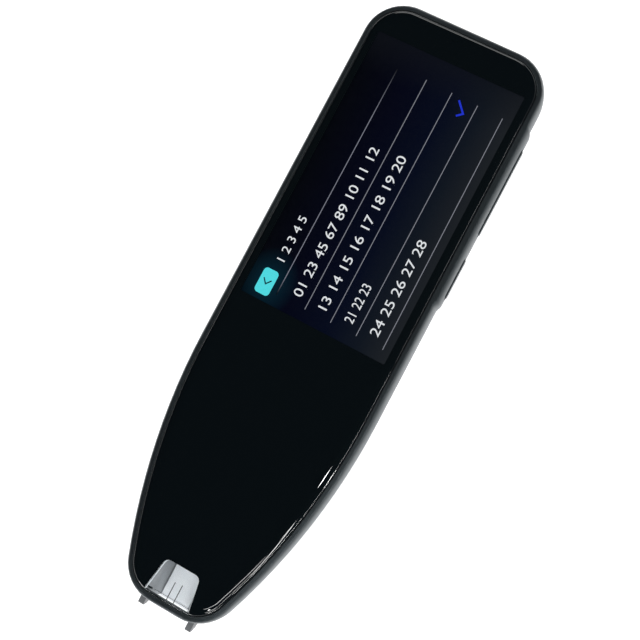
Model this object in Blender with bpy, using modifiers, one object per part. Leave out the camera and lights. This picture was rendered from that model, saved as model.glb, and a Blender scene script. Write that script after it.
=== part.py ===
"""Scanning pen: a hand-held text scanner with a long glass screen and a press-to-scan tip.

The pen lies on its back. X is to the right across the screen (the keys are on that side), Y runs
from the scanning tip to the butt end, and Z comes up out of the screen. The origin is on the flat
of the rear cover, under the middle of the cover glass. Lengths are in metres.
"""

import math

import bmesh
import bpy
from mathutils import Matrix, Vector

# Outline of the cover glass
GLASS_LENGTH = 0.142
GLASS_WIDTH = 0.0407
BUTT_CORNER = 0.0078
TIP_CORNER = 0.0077
TAPER_RADIUS = 0.147
TAPER_START = -0.015

# Thickness of the pen and its shells
PEN_THICKNESS = 0.013
WIDEST_HEIGHT = 0.0062
PARTING_HEIGHT = 0.0037
SIDE_OVERHANG = 0.002
BUTT_EXTRA = 0.001
TIP_EXTRA = 0.0002
FLAT_INSET = 0.009
COVER_WALL = 0.0014
BELLY_POWER = 2.4
SHOULDER_POWER = 2.8

# Running clearance between neighbours, and how far a cutter runs past what it cuts
CLEARANCE = 0.0003
OVERRUN = 0.002

# Cover glass and the clear window let into its tip
GLASS_THICKNESS = 0.0011
GLASS_EDGE_DROP = 0.0006
GLASS_EDGE_RUN = 0.0018
GLASS_FLAT_MARGIN = 0.0002
WINDOW_TOP = -0.0624
WINDOW_TOP_WIDTH = 0.0087
WINDOW_END_WIDTH = 0.0116
WINDOW_CORNER = 0.0014

# Front frame
RIM_LAND = 0.0002
RIM_FALL = 0.0001
LEDGE_WIDTH = 0.0012
LEDGE_THICKNESS = 0.0008
FRAME_WALL = 0.0015
TONGUE_HEIGHT = 0.0012
TONGUE_WIDTH = 0.0008

# Raised pad along the right side, and the two keys in it
PAD_SETBACK = 0.0034
PAD_RISE = 0.0005
PAD_RAMP = 0.0015
PAD_HEADROOM = 0.0034
PAD_MARGIN = 0.0018
KEY_HEIGHT = 0.0024
KEY_LEVEL = 0.0073
KEY_PROUD = 0.00025
KEY_EDGE = 0.0003
ROCKER_LENGTH = 0.0216
BUTTON_LENGTH = 0.0099
KEY_SPACING = 0.0062
KEY_FLANGE_THICKNESS = 0.0009
KEY_FLANGE_LIP = 0.0006
ROCKER_FLANGE_LENGTH = 0.006
KEY_BACK_GAP = 0.0004
PLUNGER_SIZE = 0.0014
PLUNGER_INSET = 0.0033
PLUNGER_GAP = 0.00035

# Side switches under the keys
SWITCH_WIDTH = 0.0026
SWITCH_LENGTH = 0.0035
SWITCH_HEIGHT = 0.0016
SWITCH_NUB = 0.0003
SWITCH_NUB_SIZE = 0.0008

# Display stack
PANEL_WIDTH = 0.0376
PANEL_TOP = 0.0662
PANEL_LENGTH = 0.0707
PANEL_THICKNESS = 0.0008
BACKLIGHT_THICKNESS = 0.0009
PANEL_CORNER = 0.0012

# Main board and what stands on it
BOARD_THICKNESS = 0.001
BOARD_LEVEL = 0.0052
BOARD_WIDTH = 0.0284
BOARD_TOP = 0.0704
BOARD_END = -0.040
BOARD_CORNER = 0.0025
KEY_TAB_REACH = 0.0168
KEY_TAB_MARGIN = 0.0025
POST_RADIUS = 0.0016
POST_SPACING = 0.025
POST_TOP = 0.0605
POST_END = -0.036
SCREW_RADIUS = 0.0006
SCREW_HEAD_RADIUS = 0.0012
SCREW_HEAD = 0.0007
SCREW_LENGTH = 0.0032
PILOT_DEPTH = 0.0026
SHIELD_SHEET = 0.0003
SHIELD_HEIGHT = 0.0018
SHIELD_SPACING = 0.0035
PROCESSOR_SHIELD_SIZE = (0.018, 0.020)
RADIO_SHIELD_SIZE = (0.013, 0.014)
CHIP_THICKNESS = 0.0009
PROCESSOR_SIZE = (0.012, 0.012)
RADIO_CHIP_SIZE = (0.009, 0.010)
CONNECTOR_SIZE = (0.014, 0.003)
CONNECTOR_HEIGHT = 0.0011
CONNECTOR_SETBACK = 0.004
FLEX_THICKNESS = 0.0002
FLEX_WIDTH = 0.011
FLEX_REACH = 0.0022
BATTERY_PLUG_SIZE = (0.004, 0.003)
BATTERY_PLUG_ACROSS = -0.010
BATTERY_PLUG_SETBACK = 0.0055
BATTERY_WIDTH = 0.028
BATTERY_SETBACK = 0.0035
BATTERY_LENGTH = 0.056
BATTERY_EDGE = 0.0008

# Speaker, microphone and socket at the butt end
SPEAKER_SIZE = (0.017, 0.012)
SPEAKER_PLACE = 0.0535
SPEAKER_CONE_RADIUS = 0.0048
SPEAKER_CONE_DEPTH = 0.0006
GRILLE_SLOTS = 7
GRILLE_PITCH = 0.002
GRILLE_SLOT_WIDTH = 0.001
GRILLE_SLOT_LENGTH = 0.009
MESH_THICKNESS = 0.00015
MICROPHONE_SIZE = (0.0036, 0.0028)
MICROPHONE_PLACE = 0.0095
MICROPHONE_HEIGHT = 0.001
MICROPHONE_PORT = 0.0005
SOCKET_WIDTH = 0.0089
SOCKET_HEIGHT = 0.0033
SOCKET_LENGTH = 0.0075
SOCKET_WALL = 0.0003
SOCKET_BACK = 0.001
SOCKET_INSET = 0.0005
TONGUE_PLATE = (0.0066, 0.0007)
TONGUE_SETBACK = 0.001

# Scanning throat: the channel that the camera looks through
THROAT_FLOOR_WIDTH = 0.0076
THROAT_WAIST_WIDTH = 0.0084
THROAT_REAR_WIDTH = 0.009
THROAT_MOUTH_WIDTH = 0.0112
THROAT_WAIST_LEVEL = 0.006
THROAT_WALL = 0.0008
THROAT_FLOOR = 0.0008
THROAT_MOUTH = -0.0726
THROAT_REAR = -0.0609
THROAT_RIM_SETBACK = 0.002
THROAT_RIM_DROP = 0.0016
LIGHT_PLATE_THICKNESS = 0.0004
LIGHT_PLATE_GROOVE = 0.0002
LIGHT_PLATE_GROOVE_SETBACK = 0.0006

# Camera and lights behind the throat
LENS_LEVEL = 0.0063
LIGHT_BOARD_THICKNESS = 0.0008
LIGHT_BOARD_WIDTH = 0.0088
LIGHT_BOARD_HEIGHT = 0.0072
LIGHT_PORT_RADIUS = 0.0026
LAMP_SIZE = (0.0012, 0.0006, 0.0016)
LAMP_SPACING = 0.0066
BARREL_RADIUS = 0.0031
BARREL_LENGTH = 0.0074
BARREL_WALL = 0.0008
LENS_THICKNESS = 0.0014
LENS_SETBACK = 0.0006
CAMERA_SIZE = 0.008
CAMERA_LENGTH = 0.0053
CAMERA_EDGE = 0.0004
CAMERA_BOARD_SIZE = (0.0096, 0.0092)
CAMERA_BOARD_THICKNESS = 0.0008
CAMERA_FLEX_WIDTH = 0.005
CAMERA_FLEX_LAP = 0.003
CAMERA_PAD_WIDTH = 0.006
CAMERA_PAD_LENGTH = 0.0034

# Press-to-scan nib, its springs and its switch
NIB_ARM_WIDTH = 0.0014
NIB_ARM_PLAY = 0.0005
NIB_ARM_LEVEL = 0.0018
NIB_ARM_HEIGHT = 0.0046
NIB_ARM_BACK = -0.0559
NIB_FOOT_REACH = 0.0026
NIB_FOOT_FACE = 0.0022
NIB_FOOT_RAKE = 0.0008
NIB_TRAVEL = 0.001
NIB_BRIDGE_LENGTH = 0.0026
NIB_BRIDGE_LEVEL = 0.0021
NIB_BRIDGE_THICKNESS = 0.0008
NIB_TAB_REACH = 0.0096
NIB_PEG_RADIUS = 0.0006
NIB_PEG_LENGTH = 0.0024
GUIDE_THICKNESS = 0.0008
GUIDE_END = -0.065
SPRING_TURNS = 5
SPRING_RADIUS = 0.00125
SPRING_WIRE = 0.00018
SPRING_LENGTH = 0.0056
SPRING_POINTS_PER_TURN = 10
SEAT_THICKNESS = 0.001
NIB_SWITCH_SIZE = (0.0018, 0.0028, 0.0016)
NIB_SWITCH_LEVEL = 0.0019
TIP_PORT_SHOULDER = 0.0012
TIP_PORT_HEIGHT = 0.0103

# Facets of curves
CORNER_STEPS = 11
TIP_STEPS = 8
TAPER_STEPS = 12
BELLY_STEPS = 8
SHOULDER_STEPS = 7
EDGE_STEPS = 6
RAMP_STEPS = 3
FILLET_STEPS = 4
ROUND_SIDES = 20
SMALL_ROUND_SIDES = 12

HALF_LENGTH = GLASS_LENGTH / 2
HALF_WIDTH = GLASS_WIDTH / 2
RIM_HEIGHT = PEN_THICKNESS - GLASS_EDGE_DROP
GLASS_BOTTOM = PEN_THICKNESS - GLASS_THICKNESS
LEDGE_HEIGHT = GLASS_BOTTOM - CLEARANCE
FRAME_BOTTOM = PARTING_HEIGHT + CLEARANCE
FRAME_INNER_SPREAD = SIDE_OVERHANG - FRAME_WALL
BOARD_FACE = BOARD_LEVEL + BOARD_THICKNESS
SEAT_ON_BOARD = BOARD_FACE + CLEARANCE
SEAT_ON_COVER = COVER_WALL + CLEARANCE
UNDER_BOARD = BOARD_LEVEL - CLEARANCE
BUTT_END = HALF_LENGTH + SIDE_OVERHANG + BUTT_EXTRA
TIP_END = -HALF_LENGTH - SIDE_OVERHANG - TIP_EXTRA
PAD_TOP = HALF_LENGTH - BUTT_CORNER - PAD_SETBACK - PAD_RAMP
ROCKER_MIDDLE = PAD_TOP - PAD_HEADROOM - ROCKER_LENGTH / 2
BUTTON_MIDDLE = ROCKER_MIDDLE - ROCKER_LENGTH / 2 - KEY_SPACING - BUTTON_LENGTH / 2
PAD_END = BUTTON_MIDDLE - BUTTON_LENGTH / 2 - PAD_MARGIN
PLUNGER_SPACING = ROCKER_LENGTH - 2 * PLUNGER_INSET
PANEL_END = PANEL_TOP - PANEL_LENGTH
CONNECTOR_PLACE = (0.0, PANEL_END - CLEARANCE - FLEX_REACH - CONNECTOR_SETBACK - CONNECTOR_SIZE[1] / 2)
PROCESSOR_SHIELD_PLACE = (0.0, PANEL_END + SHIELD_SPACING + PROCESSOR_SHIELD_SIZE[1] / 2)
RADIO_SHIELD_PLACE = (0.0, PROCESSOR_SHIELD_PLACE[1] + PROCESSOR_SHIELD_SIZE[1] / 2 + SHIELD_SPACING
                      + RADIO_SHIELD_SIZE[1] / 2)
BATTERY_TOP = SPEAKER_PLACE - SPEAKER_SIZE[1] / 2 - BATTERY_SETBACK
BATTERY_PLUG_PLACE = (BATTERY_PLUG_ACROSS, BATTERY_TOP - BATTERY_LENGTH - BATTERY_PLUG_SETBACK)
SWITCH_FACE = KEY_TAB_REACH + CLEARANCE
SWITCH_LEVEL = SEAT_ON_BOARD + SWITCH_HEIGHT / 2
NUB_FACE = SWITCH_FACE + SWITCH_NUB
KEY_WALL = HALF_WIDTH + FRAME_INNER_SPREAD
KEY_FLANGE_FACE = KEY_WALL - KEY_BACK_GAP
KEY_PIVOT = KEY_FLANGE_FACE - KEY_FLANGE_THICKNESS
SOCKET_LEVEL = SEAT_ON_BOARD
SOCKET_FRONT = BUTT_END - SOCKET_INSET
SOCKET_REAR = SOCKET_FRONT - SOCKET_LENGTH
LIGHT_BOARD_FRONT = THROAT_REAR + CLEARANCE
LIGHT_BOARD_BACK = LIGHT_BOARD_FRONT + LIGHT_BOARD_THICKNESS
LAMP_LEVEL = LENS_LEVEL + LIGHT_BOARD_HEIGHT / 2 - LAMP_SIZE[2] / 2 - CLEARANCE
BARREL_FRONT = LIGHT_BOARD_BACK + CLEARANCE
BARREL_BACK = BARREL_FRONT + BARREL_LENGTH
CAMERA_FRONT = BARREL_BACK + CLEARANCE
CAMERA_BACK = CAMERA_FRONT + CAMERA_LENGTH
CAMERA_MIDDLE = (CAMERA_FRONT + CAMERA_BACK) / 2
NIB_ARM_INSIDE = THROAT_WAIST_WIDTH / 2 + THROAT_WALL + NIB_ARM_PLAY
NIB_ARM_MIDDLE = NIB_ARM_INSIDE + NIB_ARM_WIDTH / 2
NIB_ARM_CENTRE = NIB_ARM_LEVEL + NIB_ARM_HEIGHT / 2
SPRING_FRONT = NIB_ARM_BACK + CLEARANCE
SPRING_SEAT = SPRING_FRONT + SPRING_LENGTH + CLEARANCE
GUIDE_TOP = NIB_ARM_BACK - NIB_BRIDGE_LENGTH - CLEARANCE

FINISHES = {
    "black_glass": ((0.010, 0.012, 0.015), 0.05, 0.0),
    "clear_plastic": ((0.86, 0.88, 0.90), 0.08, 0.0),
    "charcoal_plastic": ((0.085, 0.092, 0.096), 0.45, 0.0),
    "key_plastic": ((0.070, 0.076, 0.080), 0.40, 0.0),
    "grey_plastic": ((0.30, 0.31, 0.32), 0.50, 0.0),
    "pale_plastic": ((0.46, 0.48, 0.50), 0.45, 0.0),
    "white_plastic": ((0.88, 0.89, 0.90), 0.40, 0.0),
    "screen": ((0.012, 0.014, 0.030), 0.20, 0.0),
    "circuit_board": ((0.02, 0.10, 0.07), 0.50, 0.0),
    "sheet_steel": ((0.62, 0.63, 0.64), 0.35, 1.0),
    "spring_steel": ((0.55, 0.55, 0.56), 0.30, 1.0),
    "chip_plastic": ((0.03, 0.03, 0.032), 0.55, 0.0),
    "battery_foil": ((0.45, 0.47, 0.48), 0.40, 0.6),
    "flex_film": ((0.35, 0.16, 0.04), 0.45, 0.0),
    "lens_glass": ((0.75, 0.80, 0.88), 0.03, 0.0),
}


def start_scene():
    """Empty the scene and make one collection for the pen and one for its cutters."""
    for thing in list(bpy.data.objects):
        bpy.data.objects.remove(thing, do_unlink=True)
    collections = []
    for name in ("scanning_pen", "cutters"):
        collection = bpy.data.collections.new(name)
        bpy.context.scene.collection.children.link(collection)
        collections.append(collection)
    return collections


PEN, CUTTERS = start_scene()


def finish(name):
    """The named material, made once."""
    material = bpy.data.materials.get(name)
    if material is None:
        colour, roughness, metallic = FINISHES[name]
        material = bpy.data.materials.new(name)
        material.use_nodes = True
        shader = material.node_tree.nodes["Principled BSDF"]
        shader.inputs["Base Color"].default_value = (*colour, 1.0)
        shader.inputs["Roughness"].default_value = roughness
        shader.inputs["Metallic"].default_value = metallic
    return material


def add_object(name, shape, finish_name, origin=(0, 0, 0)):
    """Link a bmesh, modelled in pen coordinates, as an object whose origin is where given."""
    mesh = bpy.data.meshes.new(name)
    bmesh.ops.recalc_face_normals(shape, faces=shape.faces)
    bmesh.ops.translate(shape, verts=shape.verts, vec=-Vector(origin))
    shape.to_mesh(mesh)
    shape.free()
    thing = bpy.data.objects.new(name, mesh)
    thing.location = origin
    if finish_name is None:
        CUTTERS.objects.link(thing)
        thing.hide_render = True
        thing.display_type = "WIRE"
    else:
        PEN.objects.link(thing)
        mesh.materials.append(finish(finish_name))
    return thing


def add_box(name, low, high, finish_name=None, edge=0.0, origin=(0, 0, 0)):
    """A box between two corners, with bevelled edges where an edge width is given."""
    shape = bmesh.new()
    size = Vector(high) - Vector(low)
    middle = (Vector(high) + Vector(low)) / 2
    placed = Matrix.Translation(middle) @ Matrix.Diagonal((*size, 1.0))
    bmesh.ops.create_cube(shape, size=1.0, matrix=placed)
    thing = add_object(name, shape, finish_name, origin)
    if edge:
        soften(thing, edge)
    return thing


def plate(name, middle, size, low, high, finish_name=None, edge=0.0):
    """A box given by its middle and size in plan and by its two heights."""
    half_x = size[0] / 2
    half_y = size[1] / 2
    corner = (middle[0] - half_x, middle[1] - half_y, low)
    opposite = (middle[0] + half_x, middle[1] + half_y, high)
    return add_box(name, corner, opposite, finish_name, edge)


def add_cylinder(name, start, end, radius, finish_name=None, sides=ROUND_SIDES):
    """A cylinder from one point to another."""
    start = Vector(start)
    end = Vector(end)
    along = end - start
    turn = Vector((0, 0, 1)).rotation_difference(along).to_matrix().to_4x4()
    shape = bmesh.new()
    bmesh.ops.create_cone(shape, cap_ends=True, segments=sides, radius1=radius, radius2=radius,
                          depth=along.length, matrix=Matrix.Translation((start + end) / 2) @ turn)
    thing = add_object(name, shape, finish_name)
    shade_round(thing)
    return thing


def add_prism(name, points, axis, low, high, finish_name=None, origin=(0, 0, 0)):
    """A flat outline, in the two axes that are left, drawn out along one axis."""
    order = {"X": (2, 0, 1), "Y": (0, 2, 1), "Z": (0, 1, 2)}[axis]
    shape = bmesh.new()
    corners = []
    for point in points:
        values = (*point, low)
        corners.append(shape.verts.new([values[place] for place in order]))
    face = shape.faces.new(corners)
    drawn = bmesh.ops.extrude_face_region(shape, geom=[face])["geom"]
    moved = [part for part in drawn if isinstance(part, bmesh.types.BMVert)]
    step = {"X": (high - low, 0, 0), "Y": (0, high - low, 0), "Z": (0, 0, high - low)}[axis]
    bmesh.ops.translate(shape, verts=moved, vec=step)
    return add_object(name, shape, finish_name, origin)


def rounded(corners, radii, steps=FILLET_STEPS):
    """The corners of a flat outline, each replaced by an arc of its radius."""
    points = []
    for index, corner in enumerate(corners):
        here = Vector(corner)
        radius = radii[index] if isinstance(radii, (list, tuple)) else radii
        if radius == 0:
            points.append(here[:])
            continue
        before = (Vector(corners[index - 1]) - here).normalized()
        after = (Vector(corners[(index + 1) % len(corners)]) - here).normalized()
        half_angle = before.angle(after) / 2
        bisector = (before + after).normalized()
        middle = here + bisector * (radius / math.sin(half_angle))
        first = here + before * (radius / math.tan(half_angle)) - middle
        last = here + after * (radius / math.tan(half_angle)) - middle
        turn = first.angle_signed(last)
        for step in range(steps + 1):
            spoke = first.copy()
            spoke.rotate(Matrix.Rotation(-turn * step / steps, 2))
            points.append((middle + spoke)[:])
    return points


def rectangle(middle, size, corner=0.0):
    """The outline of a rectangle with rounded corners."""
    left = middle[0] - size[0] / 2
    right = middle[0] + size[0] / 2
    low = middle[1] - size[1] / 2
    high = middle[1] + size[1] / 2
    return rounded([(left, low), (right, low), (right, high), (left, high)], corner)


def soften(thing, width, segments=2):
    """Round the sharp edges of a piece."""
    bevel = thing.modifiers.new("edges", "BEVEL")
    bevel.width = width
    bevel.segments = segments
    bevel.limit_method = "ANGLE"
    bevel.angle_limit = math.radians(40)


def shade_round(thing):
    """Shade a round piece smooth, with its real edges kept sharp."""
    thing.data.shade_smooth()
    thing.data.set_sharp_from_angle(angle=math.radians(35))


def cut(thing, cutter):
    """Take the cutter's shape out of a piece."""
    boolean = thing.modifiers.new(cutter.name, "BOOLEAN")
    boolean.operation = "DIFFERENCE"
    boolean.object = cutter


def join(thing, addition):
    """Fuse a piece from the cutters' collection to another."""
    boolean = thing.modifiers.new(addition.name, "BOOLEAN")
    boolean.operation = "UNION"
    boolean.object = addition


def arc(middle, radius, start, end, steps):
    """Points along an arc, both ends included, with the angles in radians."""
    points = []
    for step in range(steps + 1):
        angle = start + (end - start) * step / steps
        points.append((middle[0] + radius * math.cos(angle), middle[1] + radius * math.sin(angle)))
    return points


def half_outline(spread, extra):
    """The right half of the pen's outline, grown by a spread, as its tip part and its butt corner.

    The side runs straight, bends in along a wide arc and meets the blunt tip in a corner arc that
    touches both. Extra is the share of the ends' own overhang that is added to the spread there.
    """
    tip_reach = spread + TIP_EXTRA * extra
    butt_reach = spread + BUTT_EXTRA * extra
    side = HALF_WIDTH + spread
    bend = TAPER_RADIUS + spread
    bend_middle = side - bend
    tip_radius = max(TIP_CORNER + spread, CLEARANCE)
    butt_radius = max(BUTT_CORNER + spread, CLEARANCE)
    tip_level = -HALF_LENGTH - tip_reach + tip_radius
    between = bend - tip_radius
    drop = TAPER_START - tip_level
    tip_middle = bend_middle + math.sqrt(between * between - drop * drop)
    touch = -math.asin(drop / between)
    butt_middle = (side - butt_radius, HALF_LENGTH + butt_reach - butt_radius)
    points = arc((tip_middle, tip_level), tip_radius, -math.pi / 2, touch, TIP_STEPS)
    points += arc((bend_middle, TAPER_START), bend, touch, 0.0, TAPER_STEPS)[1:]
    return points, arc(butt_middle, butt_radius, 0.0, math.pi / 2, CORNER_STEPS)


def pad_rise(along):
    """How far the key pad stands out at a place along the side, as a share of its full rise."""
    outside = max(PAD_END - along, along - PAD_TOP, 0.0)
    share = max(1.0 - outside / PAD_RAMP, 0.0)
    return share * share * (3.0 - 2.0 * share)


def ring(spread, height, extra=0.0, pad=0.0):
    """One closed ring of the pen's outline at a height, with the key pad's rise on its right."""
    tip_part, butt_corner = half_outline(spread, extra)
    side = HALF_WIDTH + spread
    ramp = [PAD_RAMP * step / RAMP_STEPS for step in range(RAMP_STEPS + 1)]
    places = [PAD_END - PAD_RAMP + run for run in ramp] + [PAD_TOP + run for run in ramp]
    padded = [(side + pad * pad_rise(along), along) for along in places]
    right = tip_part + padded + butt_corner
    left = [(-across, along) for across, along in reversed(tip_part + butt_corner)]
    return [(across, along, height) for across, along in right + left]


def loft(name, rings, finish_name=None, closed=False):
    """A solid through rings of equal count: capped at its ends, or closed on itself."""
    shape = bmesh.new()
    rows = []
    for points in rings:
        rows.append([shape.verts.new(point) for point in points])
    pairs = list(zip(rows, rows[1:]))
    if closed:
        pairs.append((rows[-1], rows[0]))
    else:
        shape.faces.new(rows[0])
        shape.faces.new(rows[-1])
    for lower, upper in pairs:
        for index in range(len(lower)):
            before = index - 1
            shape.faces.new((lower[before], lower[index], upper[index], upper[before]))
    return add_object(name, shape, finish_name)


def belly_share_at(height, wall=0.0):
    """The share of the rear's curve, from its widest line, at which it passes a height."""
    deep = (WIDEST_HEIGHT - height) / (WIDEST_HEIGHT - wall)
    return math.asin(deep ** (BELLY_POWER / 2.0)) / (math.pi / 2)


def belly_ring(share, wall=0.0, pad=0.0):
    """A ring of the rear shell: share 0 is its widest line and 1 its flat. Wall gives its inside."""
    angle = share * math.pi / 2
    wide = max(math.cos(angle), 0.0) ** (2.0 / BELLY_POWER)
    deep = math.sin(angle) ** (2.0 / BELLY_POWER)
    spread = (SIDE_OVERHANG + FLAT_INSET - wall) * wide - FLAT_INSET
    height = WIDEST_HEIGHT - (WIDEST_HEIGHT - wall) * deep
    return ring(spread, height, wide, pad)


def shoulder_ring(share):
    """A ring of the frame's outer side: share 0 is its widest line and 1 the edge of the rim."""
    angle = share * math.pi / 2
    rim = CLEARANCE + RIM_LAND
    top = RIM_HEIGHT - RIM_FALL
    wide = max(math.cos(angle), 0.0) ** (2.0 / SHOULDER_POWER)
    high = math.sin(angle) ** (2.0 / SHOULDER_POWER)
    spread = rim + (SIDE_OVERHANG - rim) * wide
    height = WIDEST_HEIGHT + (top - WIDEST_HEIGHT) * high
    return ring(spread, height, 1.0, PAD_RISE * wide)


def glass_rings():
    """The cover glass from its flat underside over its rounded upper edge.

    The last ring, a little way in on the flat top, keeps the top's shading flat.
    """
    rings = [ring(0.0, GLASS_BOTTOM)]
    for step in range(EDGE_STEPS + 1):
        angle = math.pi / 2 * step / EDGE_STEPS
        inset = GLASS_EDGE_RUN * (1.0 - math.cos(angle))
        rings.append(ring(-inset, RIM_HEIGHT + GLASS_EDGE_DROP * math.sin(angle)))
    rings.append(ring(-GLASS_EDGE_RUN - GLASS_FLAT_MARGIN, RIM_HEIGHT + GLASS_EDGE_DROP))
    return rings


def window_outline(gap):
    """The window's outline, grown by a gap: it widens to the tip and runs off the end there."""
    end = -HALF_LENGTH - OVERRUN
    widening = (WINDOW_END_WIDTH - WINDOW_TOP_WIDTH) / 2 / (HALF_LENGTH + WINDOW_TOP)
    top_half = WINDOW_TOP_WIDTH / 2 + gap
    end_half = top_half + widening * (WINDOW_TOP - end)
    top = WINDOW_TOP + gap
    corners = [(-end_half, end), (end_half, end), (top_half, top), (-top_half, top)]
    return rounded(corners, [0, 0, WINDOW_CORNER + gap, WINDOW_CORNER + gap])


def make_front_glass():
    """Cover glass with the notch for the window."""
    glass = loft("front_glass", glass_rings(), "black_glass")
    notch = add_prism("window_notch", window_outline(CLEARANCE), "Z",
                      GLASS_BOTTOM - OVERRUN, PEN_THICKNESS + OVERRUN)
    cut(glass, notch)
    shade_round(glass)


def make_tip_window():
    """Clear window, cut from the same rounded sheet as the glass so that their edges run on."""
    window = loft("tip_window", glass_rings(), "clear_plastic")
    keep = add_prism("window_keep", window_outline(0.0), "Z",
                     GLASS_BOTTOM - OVERRUN, PEN_THICKNESS + OVERRUN)
    boolean = window.modifiers.new("window_keep", "BOOLEAN")
    boolean.operation = "INTERSECT"
    boolean.object = keep
    shade_round(window)


def key_slot(name, middle, length):
    """Cutter for one key's slot through the frame's right side."""
    size = (length + 2 * CLEARANCE, KEY_HEIGHT + 2 * CLEARANCE)
    outline = rectangle((middle, KEY_LEVEL), size, size[1] / 2 - CLEARANCE)
    outer = HALF_WIDTH + SIDE_OVERHANG + PAD_RISE + OVERRUN
    return add_prism(name, outline, "X", HALF_WIDTH - LEDGE_WIDTH, outer)


def socket_mouth(name):
    """Cutter for the charging socket's mouth in the butt end."""
    size = (SOCKET_WIDTH + 2 * CLEARANCE, SOCKET_HEIGHT + 2 * CLEARANCE)
    outline = rectangle((0.0, SOCKET_LEVEL), size, size[1] / 2 - CLEARANCE)
    return add_prism(name, outline, "Y", HALF_LENGTH - LEDGE_WIDTH, BUTT_END + OVERRUN)


def tip_port(name):
    """Cutter for the port in the tip, through which the throat and the nib's arms come out."""
    floor_half = THROAT_FLOOR_WIDTH / 2 + THROAT_WALL + CLEARANCE
    arm_half = NIB_ARM_INSIDE + NIB_ARM_WIDTH + CLEARANCE
    neck_half = THROAT_MOUTH_WIDTH / 2 + THROAT_WALL + CLEARANCE
    low = COVER_WALL
    arm_low = NIB_ARM_LEVEL - CLEARANCE
    arm_high = NIB_ARM_LEVEL + NIB_ARM_HEIGHT + CLEARANCE
    right = [(floor_half, low), (floor_half, arm_low), (arm_half, arm_low), (arm_half, arm_high),
             (neck_half, arm_high + TIP_PORT_SHOULDER), (neck_half, TIP_PORT_HEIGHT)]
    left = [(-across, height) for across, height in reversed(right)]
    return add_prism(name, right + left, "Y", TIP_END - OVERRUN, WINDOW_TOP - OVERRUN)


def make_front_frame():
    """Front frame: the barrel-sided rim with the glass ledge, key slots, socket and tip ports."""
    rings = [belly_ring(belly_share_at(FRAME_BOTTOM), pad=PAD_RISE)]
    rings += [shoulder_ring(step / SHOULDER_STEPS) for step in range(SHOULDER_STEPS + 1)]
    rings.append(ring(CLEARANCE, RIM_HEIGHT))
    rings.append(ring(CLEARANCE, LEDGE_HEIGHT))
    rings.append(ring(CLEARANCE - LEDGE_WIDTH, LEDGE_HEIGHT))
    rings.append(ring(CLEARANCE - LEDGE_WIDTH, LEDGE_HEIGHT - LEDGE_THICKNESS))
    rings.append(ring(FRAME_INNER_SPREAD, LEDGE_HEIGHT - LEDGE_THICKNESS - LEDGE_WIDTH / 2, 1.0))
    rings.append(ring(FRAME_INNER_SPREAD, FRAME_BOTTOM, 1.0))
    frame = loft("front_frame", rings, "charcoal_plastic", closed=True)
    cut(frame, key_slot("rocker_slot", ROCKER_MIDDLE, ROCKER_LENGTH))
    cut(frame, key_slot("button_slot", BUTTON_MIDDLE, BUTTON_LENGTH))
    cut(frame, socket_mouth("frame_socket_mouth"))
    end = BUTT_END + OVERRUN
    port_level = SEAT_ON_BOARD + MICROPHONE_HEIGHT / 2
    cut(frame, add_cylinder("microphone_port", (MICROPHONE_PLACE, HALF_LENGTH - LEDGE_WIDTH, port_level),
                            (MICROPHONE_PLACE, end, port_level), MICROPHONE_PORT,
                            sides=SMALL_ROUND_SIDES))
    cut(frame, tip_port("frame_tip_port"))
    relief_half = THROAT_MOUTH_WIDTH / 2 + THROAT_WALL + CLEARANCE
    relief_end = THROAT_MOUTH + THROAT_RIM_SETBACK - CLEARANCE
    relief_low = (-relief_half, relief_end, TIP_PORT_HEIGHT - OVERRUN)
    relief_high = (relief_half, WINDOW_TOP, LEDGE_HEIGHT + CLEARANCE)
    cut(frame, add_box("throat_relief", relief_low, relief_high))
    shade_round(frame)


def post_places():
    """The four posts that carry the main board."""
    across = POST_SPACING / 2
    return [(side * across, along) for along in (POST_TOP, POST_END) for side in (-1, 1)]


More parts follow.
